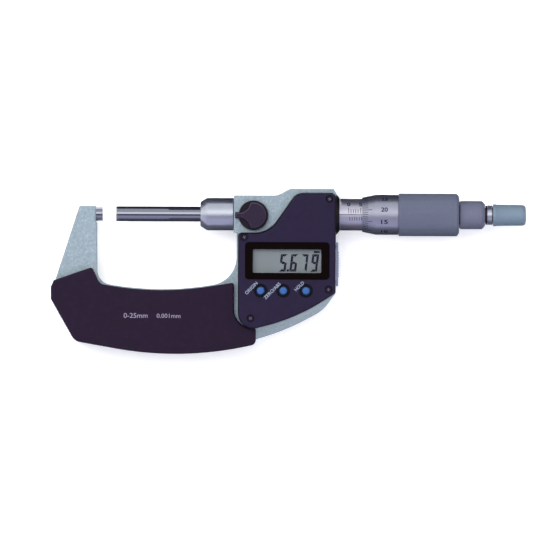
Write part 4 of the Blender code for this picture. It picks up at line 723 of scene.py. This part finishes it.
def words(name, text, place, width, height, material, slot, angle=0.0, bold=0.0):
    """Flat lettering of a given width and height, centred on a point."""
    mesh = lettering(text, width, height, bold)
    made = bpy.data.objects.new(name, mesh)
    bpy.context.scene.collection.objects.link(made)
    mesh.transform(Matrix.Diagonal((MM, MM, MM, 1.0)))
    mesh.transform(Matrix.Translation(Vector(place) * MM) @ Matrix.Rotation(angle, 4, "Z"))
    return dress(made, "frame", slot, material)


def lettering(text, width, height, bold=0.0):
    """A flat mesh of lettering, centred and scaled to a width and height."""
    curve = bpy.data.curves.new("lettering", "FONT")
    curve.body = text
    curve.offset = bold
    curve.resolution_u = 4
    holder = bpy.data.objects.new("lettering", curve)
    bpy.context.scene.collection.objects.link(holder)
    bpy.context.view_layer.update()
    graph = bpy.context.evaluated_depsgraph_get()
    mesh = bpy.data.meshes.new_from_object(holder.evaluated_get(graph))
    bpy.data.objects.remove(holder, do_unlink=True)
    xs = [vert.co.x for vert in mesh.vertices]
    ys = [vert.co.y for vert in mesh.vertices]
    middle = Vector(((min(xs) + max(xs)) / 2, (min(ys) + max(ys)) / 2, 0))
    mesh.transform(Matrix.Translation(-middle))
    wide, tall = width / (max(xs) - min(xs)), height / (max(ys) - min(ys))
    mesh.transform(Matrix.Diagonal((wide, tall, 1, 1)))
    return mesh


def wrapped(build, mesh, x0, angle0, radius_at):
    """Adds flat lettering, bent round the spindle's axis at an angle above the front."""
    flat = bmesh.new()
    flat.from_mesh(mesh)
    low = min(vert.co.y for vert in flat.verts)
    high = max(vert.co.y for vert in flat.verts)
    steps = 8
    for k in range(1, steps):
        level = low + (high - low) * k / steps
        bmesh.ops.bisect_plane(flat, geom=flat.verts[:] + flat.edges[:] + flat.faces[:],
                               plane_co=(0, level, 0), plane_no=(0, 1, 0))
    made = {}
    for vert in flat.verts:
        x = x0 + vert.co.x
        radius = radius_at(x)
        angle = angle0 + vert.co.y / radius
        made[vert] = build.verts.new((x, radius * math.sin(angle), radius * math.cos(angle)))
    for face in flat.faces:
        build.faces.new([made[vert] for vert in face.verts])
    flat.free()


def bent_tick(build, x0, x1, angle0, angle1, radius_at):
    """Adds a mark on a round surface, between two places along it and two angles."""
    rows = max(2, math.ceil(abs(angle1 - angle0) / math.radians(5)) + 1)
    columns = 4 if x1 - x0 > 1 else 2
    grid = []
    for r in range(rows):
        angle = angle0 + (angle1 - angle0) * r / (rows - 1)
        line = []
        for c in range(columns):
            x = x0 + (x1 - x0) * c / (columns - 1)
            radius = radius_at(x)
            line.append(build.verts.new((x, radius * math.sin(angle), radius * math.cos(angle))))
        grid.append(line)
    for lower, upper in zip(grid, grid[1:]):
        for c in range(columns - 1):
            build.faces.new((lower[c], lower[c + 1], upper[c + 1], upper[c]))


def make_sleeve():
    """The satin sleeve with its engraved scale, and the dark collar round its foot."""
    sleeve = turned("sleeve_tube", profile_of([
        (99.15, 5.9, SEAT), (99.15, SLEEVE_RADIUS, SEAT), (130.0, SLEEVE_RADIUS, 0.2),
        (130.0, 5.9, SEAT)]), FINE_ROUND)
    dress(sleeve, "frame", "satin_chrome", "sleeve", "scale_sleeve")
    radius = SLEEVE_RADIUS + INK_HEIGHT
    half = 0.115
    build = bmesh.new()

    def at(_):
        return radius

    bent_tick(build, 100.6, 129.6, -half / radius, half / radius, at)
    for mark in range(26):
        x = ZERO_MARK + mark
        top = 2.95 if mark % 5 == 0 else 2.35
        if x < 129.7:
            bent_tick(build, x - half, x + half, 0.65 / radius, top / radius, at)
        if x + 0.5 < 129.7:
            bent_tick(build, x + 0.5 - half, x + 0.5 + half, -2.55 / radius, -1.0 / radius, at)
        if mark % 5 == 0 and x < 129:
            wide = 1.25 if mark < 10 else 2.6
            wrapped(build, lettering(str(mark), wide * 1.12, 2.05, 0.03), x, 4.75 / radius, at)
    dress(object_from(build, "sleeve_scale"), "frame", "satin_chrome", "mark")
    collar = turned("collar_ring", profile_of([
        (99.02, 6.95, 0), (99.02, 8.72, 0), (99.3, 8.6, 0.2), (100.55, 7.1, 0.3),
        (100.55, 6.95, SEAT)], 6), FINE_ROUND)
    dress(collar, "frame", "cover_plastic", "collar", "sleeve_collar")


def thimble_radius(x):
    share = min(max((x - THIMBLE_EDGE) / (THIMBLE_TAPER_END - THIMBLE_EDGE), 0.0), 1.0)
    return THIMBLE_EDGE_RADIUS + (THIMBLE_RADIUS - THIMBLE_EDGE_RADIUS) * share + INK_HEIGHT


def make_thimble():
    """The graduated thimble and its fine-knurled grip."""
    thimble = turned("thimble_drum", profile_of([
        (THIMBLE_EDGE, 6.95, SEAT), (THIMBLE_EDGE, THIMBLE_EDGE_RADIUS, 0.08),
        (THIMBLE_TAPER_END, THIMBLE_RADIUS, 3.0), (THIMBLE_STEP, THIMBLE_RADIUS, 0.15),
        (THIMBLE_STEP, 7.9, SEAT), (148.3, 7.9, SEAT), (148.3, 3.4, SEAT), (143.3, 3.4, SEAT),
        (143.3, 6.95, SEAT)]), FINE_ROUND)
    dress(thimble, "spindle", "satin_chrome", "chrome", "thimble")
    build = bmesh.new()
    half = 0.10
    read_now = (READING % 0.5) / 0.01
    for mark in range(DIVISIONS):
        angle = (mark - read_now) * math.tau / DIVISIONS
        spread = half / THIMBLE_EDGE_RADIUS
        start = THIMBLE_EDGE + 0.3
        end = THIMBLE_EDGE + (4.3 if mark % 5 == 0 else 2.6)
        bent_tick(build, start, end, angle - spread, angle + spread, thimble_radius)
        if mark % 5 == 0:
            wide = 1.4 if mark < 10 else 2.9
            wrapped(build, lettering(str(mark), wide, 1.95, 0.03), 119.7, angle, thimble_radius)
    dress(object_from(build, "thimble_scale"), "spindle", "satin_chrome", "mark")
    start, radius, inner = THIMBLE_STEP + SEAT, THIMBLE_GRIP_RADIUS, 8.2
    depth = 0.05
    profile = [(start, inner, 0), (start, radius - 0.12, 0), (start + 0.12, radius, 0)]
    profile += [(start + 0.5, radius, 0), (start + 0.55, radius, depth),
                (GRIP_END - 2.0, radius, depth), (GRIP_END - 1.8, radius, 0)]
    for k in range(9):
        angle = math.pi / 2 * k / 8
        along = GRIP_END + 0.2 - 1.6 * (1 - math.sin(angle))
        profile.append((along, radius - 2.7 * (1 - math.cos(angle)), 0))
    profile += [(GRIP_END + 0.2, 4.3, 0), (148.6, 4.3, 0), (148.6, inner, 0)]
    grip = turned("thimble_knurl", profile, teeth=200)
    dress(grip, "spindle", "grey_anodised", "knurl", "thimble_grip")


def make_ratchet():
    """The ratchet's housing, its neck with the bright ring, and the knob."""
    start, end, radius, depth = 151.85, 162.4, 6.0, 0.045
    housing = turned("ratchet_shell", [
        (149.4, 1.6), (149.4, 4.0), (start, 4.0), (start, radius - 0.15), (start + 0.15, radius),
        (start + 0.5, radius), (start + 0.55, radius, depth), (end - 1.5, radius, depth),
        (end - 1.45, radius), (end - 1.2, radius - 0.12), (end - 0.15, radius - 1.2),
        (end, radius - 1.4), (end, 3.6), (155.0, 3.6), (155.0, 1.6)], teeth=120)
    dress(housing, "spindle", "grey_anodised", "housing", "ratchet_housing")
    # A dark ring at the housing's foot: painted shade where the grip meets the housing.
    foot = turned("housing_foot", [(151.52, 4.05), (151.52, 5.6), (151.83, 5.6), (151.83, 4.05)])
    dress(foot, "spindle", "grey_anodised", "groove")
    groove = turned("neck_groove", [
        (end + 0.15, 2.2), (end + 0.15, 4.02), (163.35, 4.02), (163.35, 3.2), (165.55, 3.2),
        (165.55, 3.95), (165.76, 3.95), (165.76, 2.2)])
    ring = turned("neck_band", profile_of([
        (163.4, 3.25, SEAT), (163.4, 4.15, 0.15), (165.5, 4.15, 0.15), (165.5, 3.25, SEAT)]))
    dress(ring, "ratchet", "bright_steel", "nose", "neck_ring")
    knob_start, knob_end = 165.8, 179.5
    knob = turned("ratchet_knob_grip", [
        (157.0, 1.6), (157.0, 3.2), (162.5, 3.2), (knob_start, 3.2), (knob_start, 4.5),
        (knob_start + 0.16, 4.66), (knob_start + 1.3, 4.66), (knob_start + 1.4, 4.5),
        (knob_start + 1.6, 4.54), (knob_start + 1.65, 4.54, 0.05), (knob_end - 1.5, 4.42, 0.05),
        (knob_end - 1.4, 4.42), (knob_end - 0.9, 4.35), (knob_end - 0.5, 4.2),
        (knob_end - 0.2, 4.02), (knob_end, 3.8), (knob_end, 2.9), (166.2, 2.9), (166.2, 1.6)],
        teeth=100)
    dress(knob, "ratchet", "grey_anodised", "knob", "ratchet_knob")
    dress(groove, "ratchet", "dark_screw", "groove")
    cap = turned("knob_end_cap", [
        (176.6, 0), (176.6, 2.6), (179.55, 2.6), (179.55, 3.75), (179.65, 3.65), (179.8, 3.1),
        (179.92, 2.0), (179.95, 0)])
    dress(cap, "ratchet", "grey_anodised", "knob", "knob_cap")


def make_spindle():
    """The polished spindle and anvil with their hard tips, and the spindle guide."""
    spindle = turned("spindle_rod", [
        (6.379, 0), (6.379, SPINDLE_RADIUS), (96.3, SPINDLE_RADIUS), (97.5, 3.6), (137.0, 3.6),
        (137.3, 3.1), (149.0, 3.1), (149.0, 0)])
    carve(spindle, [block("keyway", (62.63, -0.46, 2.58), (93.03, 0.46, 4.2)),
                    turned("screw_room", [(141.9, 0), (141.9, 1.6), (150, 1.6), (150, 0)])])
    smooth(spindle)
    dress(spindle, "spindle", "bright_steel", "steel", "spindle")
    tips = (("spindle_face_tip", "spindle", READING, 1, "spindle_tip"),
            ("anvil_face_tip", "frame", 0.0, -1, "anvil_tip"))
    for name, body, face, way, node in tips:
        tip = turned(name, [
            (face, 0), (face, SPINDLE_RADIUS - 0.04), (face + way * 0.04, SPINDLE_RADIUS),
            (face + way * 0.65, SPINDLE_RADIUS), (face + way * 0.68, 3.1), (face + way * 0.69, 0)])
        dress(tip, body, "hard_metal", "steel", node)
    anvil = turned("anvil_post", [
        (-7.4, 0), (-7.4, 1.9), (-2.94, 1.9), (-2.94, SPINDLE_RADIUS), (-0.72, SPINDLE_RADIUS),
        (-0.7, 3.1), (-0.7, 0)])
    dress(anvil, "frame", "bright_steel", "steel", "anvil")
    guide = turned("guide_nose", profile_of([
        (41.45, 4.25, 0.15), (41.45, 5.1, 0.6), (44.25, NOSE_RADIUS, 2.0),
        (55.4, NOSE_RADIUS, 0.1),
        (55.4, 5.2, SEAT), (59.75, 5.2, SEAT), (59.75, 3.45, SEAT), (43.35, 3.45, SEAT),
        (43.35, 4.25, SEAT)], 6), FINE_ROUND)
    dress(guide, "frame", "bright_steel", "nose", "spindle_guide")
    ring = [(55.42, 5.3), (55.42, 6.82), (55.64, 6.82), (55.64, 5.3)]
    seat = turned("guide_seat", ring, FINE_ROUND)
    dress(seat, "frame", "bright_steel", "groove")


def make_lock():
    """The lock lever: a low disc, with a raised ridge that flares from the pointer."""
    disc_radius, half, reach = 6.3, 1.3, 7.8
    points = []
    root = math.asin((half + 0.05) / disc_radius)
    for step in range(73):
        angle = math.pi + root + step * (math.tau - 2 * root) / 72
        points.append((disc_radius * math.cos(angle), disc_radius * math.sin(angle), 0.0))
    points += [(-reach, half, 0.2), (-reach, -half, 0.2)]
    base = plate("lever_base", shifted(points, LEVER_PLACE), 7.8, 9.7, 0.0, 0.5, 4)
    ridge = [(-reach + 0.25, half - 0.25, 0.3), (-reach + 0.25, -half + 0.25, 0.3),
             (-4.6, -half + 0.35, 2.2), (-2.2, -2.7, 3.0)]
    for step in range(25):
        angle = math.radians(-102 + 204 * step / 24)
        ridge.append((5.35 * math.cos(angle), 5.35 * math.sin(angle), 0.0))
    ridge += [(-2.2, 2.7, 3.0), (-4.6, half - 0.35, 2.2)]
    top = plate("lever_ridge", shifted(ridge, LEVER_PLACE), 8.5, 10.8, 0.0, 0.5, 4)
    smooth(base, 40)
    smooth(top, 40)
    # The low disc takes the darker copy of the lever's plastic: painted shade.
    dress(base, "lock", "lever_plastic", "lever_painted_shade", "lock_lever")
    dress(top, "lock", "lever_plastic", "lever")
    # The ridge's sloping faces take the lighter copy of the lever's plastic: a painted highlight.
    shade_edges(top, "lever_painted_highlight", 0.2, 0.93)


def make_screws():
    """The cover's four screws with cross recesses."""
    for index, (x, y) in enumerate(SCREWS):
        name = f"cover_screw_head_{index + 1}"
        top = COVER_FRONT - 0.2
        screw = turned(name, [
            (0.6, 0), (0.6, 0.7), (top - 0.85, 0.7), (top - 0.85, 1.3), (top - 0.15, 1.3),
            (top, 1.15), (top, 0)], 48, "Z", (x, y, 0))
        angle = math.radians(25 + 40 * index)
        bars = []
        for turn in (0, math.pi / 2):
            bar = block("bar", (-0.75, -0.17, top - 0.45), (0.75, 0.17, top + 1))
            bar.data.transform(Matrix.Translation((x * MM, y * MM, 0)) @ Matrix.Rotation(
                angle + turn, 4, "Z"))
            bars.append(bar)
        carve(screw, bars)
        smooth(screw)
        dress(screw, "frame", "dark_screw", "screw", f"cover_screw_{index + 1}")
        screw.data.materials.append(MATERIALS["recess"])
        for face in screw.data.polygons:
            middle = Vector(face.center) / MM
            across = math.hypot(middle.x - x, middle.y - y)
            if across < 0.9 and top - 0.6 < middle.z < top - 0.02:
                face.material_index = 1


def make_buttons():
    """Three domed buttons in their recesses."""
    for name, x in BUTTONS:
        button = turned(name + "_dome", profile_of([
            (7.8, 0.0, 0.0), (7.8, 2.3, SEAT), (8.7, 2.3, SEAT), (8.7, 1.6, SEAT),
            (10.5, 1.6, 0.45), (10.72, 0.0, 0.0)], 5), 64, "Z", (x, BUTTON_ROW, 0))
        dress(button, name.replace("button_", "") + "_button", "blue_rubber", "button", name)
        # A near-black disc in the recess round each button: painted shade.
        well = turned(name + "_recess_shade", [
            (9.84, 1.9), (9.84, 2.93), (10.0, 2.93), (10.0, 1.9)], 64, "Z", (x, BUTTON_ROW, 0))
        dress(well, "frame", "black_rubber", "well")


def make_port():
    """The ridged cover strip over the data port in the head's right side."""
    face, outer, pitch, middle = 99.15, 100.15, 1.1, PORT_MIDDLE
    points = [(face, middle + 9.35, 0.0), (face, middle - 9.35, 0.0), (outer, middle - 9.35, 0.2)]
    for index in range(10):
        y = middle - 5.5 + index * pitch
        for along, up in ((0.15, 0.0), (0.35, 0.35), (0.65, 0.35), (0.85, 0.0)):
            points.append((outer + up, y + pitch * along, 0.06))
    points.append((outer, middle + 9.35, 0.2))
    strip = plate("port_strip", points, -6.0, 2.0, 0.15, 0.15, 3)
    hole = [(98, 0), (98, 0.9), (99.5, 0.9), (99.5, 1.4), (101, 1.4), (101, 0)]
    carve(strip, [turned("port_hole", hole, 48, place=(0, y, -2.0))
                  for y in (middle - 7.5, middle + 7.5)])
    smooth(strip)
    dress(strip, "frame", "port_grey", "port", "port_cover")


def make_back():
    """The coin-slotted battery cap in the head's flat back."""
    cap = turned("battery_lid", profile_of([
        (-10.1, 0.0, 0.0), (-10.1, 6.9, 0.2), (-8.5, 6.9, SEAT), (-8.5, 0.0, 0.0)], 4), ROUND, "Z",
        (*BATTERY_PLACE, 0))
    slot = shifted(rectangle(-4.5, 4.5, -0.7, 0.7, 0.68), BATTERY_PLACE)
    carve(cap, [plate("slot", slot, -11, -9.3)])
    smooth(cap)
    dress(cap, "battery_cover", "satin_chrome", "cap", "battery_cap")


def make_lettering():
    """The range and step on the grip, and plain words at the buttons."""
    z = GRIP_FRONT + INK_HEIGHT
    for name, text, x, y, wide, high in (("grip_range", "0-25mm", 14.1, -43.2, 10.25, 2.1),
                                         ("grip_step", "0.001mm", 28.1, -43.3, 10.15, 1.85)):
        words(name, text, (x, y, z), wide, high, "grip_print", "grip_plastic", bold=0.01)
    z = COVER_FRONT + INK_HEIGHT
    angle = math.radians(45)
    for name, text, x, y, wide in (("label_left", "ORIGIN", 63.2, -31.4, 6.7),
                                   ("label_middle", "ZERO/ABS", 72.1, -32.5, 9.2),
                                   ("label_right", "HOLD", 83.6, -30.5, 4.9)):
        words(name, text, (x, y, z), wide, 1.45, "print", "cover_plastic", angle, 0.012)


def dress_kept_nodes():
    """Gives the solids that stay visible a procedural material."""
    kept = {
        "rubber": ("cover_gasket", "button_pad", "battery_cap_seal", "data_connector",
                   "wiper_seal"),
        "white": ("lcd_holder",), "board": ("circuit_board", "encoder_rotor", "encoder_stator"),
        "brass": ("battery_contact", "rotor_bush"),
        "steel": ("battery", "inner_sleeve", "adjusting_nut", "ratchet_ring", "ratchet_spring"),
        "screw": ("lock_stud", "rotor_key", "ratchet_screw", "port_screw_1", "port_screw_2"),
    }
    for material, names in kept.items():
        for name in names:
            for slot in bpy.data.objects[name].material_slots:
                slot.material = MATERIALS[material]


def backdrop_material(name, lift):
    """A pale surface, lifted towards white for the rays that show it as the background."""
    made, nodes, links, shader = matt(name, (0.93, 0.93, 0.93, 1.0))
    shader.inputs["Emission Color"].default_value = (1.0, 1.0, 1.0, 1.0)
    path = nodes.new("ShaderNodeLightPath")
    seen = math_node(nodes, links, "MAXIMUM", path.outputs["Is Camera Ray"],
                     path.outputs["Is Glossy Ray"])
    seen = math_node(nodes, links, "MAXIMUM", seen, path.outputs["Is Transmission Ray"])
    links.new(math_node(nodes, links, "MULTIPLY", seen, lift), shader.inputs["Emission Strength"])
    return made


def make_floor():
    """A pale floor, with a pale wall far round it that also reaches below for low views."""
    build = bmesh.new()
    bmesh.ops.create_grid(build, x_segments=1, y_segments=1, size=FLOOR_REACH)
    bmesh.ops.translate(build, verts=build.verts, vec=(*STAGE_MIDDLE, FLOOR))
    floor = object_from(build, "floor")
    floor.data.materials.append(backdrop_material("floor_pale", FLOOR_LIFT))
    build = bmesh.new()
    bmesh.ops.create_cone(build, cap_ends=False, segments=ROUND, radius1=WALL_RADIUS,
                          radius2=WALL_RADIUS, depth=WALL_DEPTH,
                          matrix=Matrix.Translation((*STAGE_MIDDLE, FLOOR + WALL_MIDDLE)))
    wall = object_from(build, "wall")
    wall.data.materials.append(backdrop_material("wall_pale", WALL_LIFT))


def make_flags():
    """Black studio flags beside the bare metal rods, there only for reflections."""
    dark = matt("flag_black", (0.16, 0.16, 0.2, 1.0))[0]
    for name, start, end, radius in FLAGS:
        for side, way in (("low", -1), ("high", 1)):
            y = way * (radius + FLAG_DISTANCE)
            flag = block(f"flag_{name}_{side}", (start, y - FLAG_HALF, FLOOR),
                         (end, y + FLAG_HALF, FLAG_SHARE * radius))
            flag.data.materials.append(dark)
            flag.visible_camera = False
            flag.visible_diffuse = False
            flag.visible_shadow = False


def make_world():
    """Soft studio surroundings: bright above, darker towards the sides and just off the middle."""
    world = bpy.data.worlds.new("studio")
    world.use_nodes = True
    nodes, links = world.node_tree.nodes, world.node_tree.links
    background = nodes["Background"]
    place = nodes.new("ShaderNodeTexCoord")
    split = nodes.new("ShaderNodeSeparateXYZ")
    links.new(place.outputs["Generated"], split.inputs["Vector"])
    turn = math_node(nodes, links, "ARCTAN2", split.outputs["Y"], split.outputs["Z"])
    share = nodes.new("ShaderNodeMapRange")
    share.inputs["From Min"].default_value = -math.pi
    share.inputs["From Max"].default_value = math.pi
    links.new(turn, share.inputs["Value"])
    ramp = colour_ramp(nodes, [((angle + 180) / 360, tint) for angle, tint in WORLD_STOPS])
    links.new(share.outputs["Result"], ramp.inputs["Fac"])
    links.new(ramp.outputs["Color"], background.inputs["Color"])
    background.inputs["Strength"].default_value = 1.0
    bpy.context.scene.world = world


def make_lights():
    """A large soft key from the upper left, a fill and a side light, unseen in the metal."""
    for name, place, size, power in LAMPS:
        light = bpy.data.lights.new(name, "AREA")
        light.size = size
        light.energy = power
        made = bpy.data.objects.new(name, light)
        made.location = place
        aim = Vector(LAMPS_AIM) - made.location
        made.rotation_euler = aim.to_track_quat("-Z", "Y").to_euler()
        made.visible_glossy = False
        bpy.context.scene.collection.objects.link(made)


def make_camera():
    """Looking straight down on the display, in the photograph's frame."""
    lens = bpy.data.cameras.new("camera")
    lens.type = "ORTHO"
    lens.ortho_scale = VIEW_WIDTH
    camera = bpy.data.objects.new("camera", lens)
    camera.location = VIEW_PLACE
    camera.rotation_euler = (0.0, 0.0, VIEW_TURN)
    bpy.context.scene.collection.objects.link(camera)
    bpy.context.scene.camera = camera


make_camera()
make_frame()
make_grips()
make_cover()
make_window()
make_digits()
make_sleeve()
make_thimble()
make_ratchet()
make_spindle()
make_lock()
make_screws()
make_buttons()
make_port()
make_back()
make_lettering()
dress_kept_nodes()
make_floor()
make_flags()
make_world()
make_lights()
bpy.context.scene.view_settings.view_transform = "Standard"
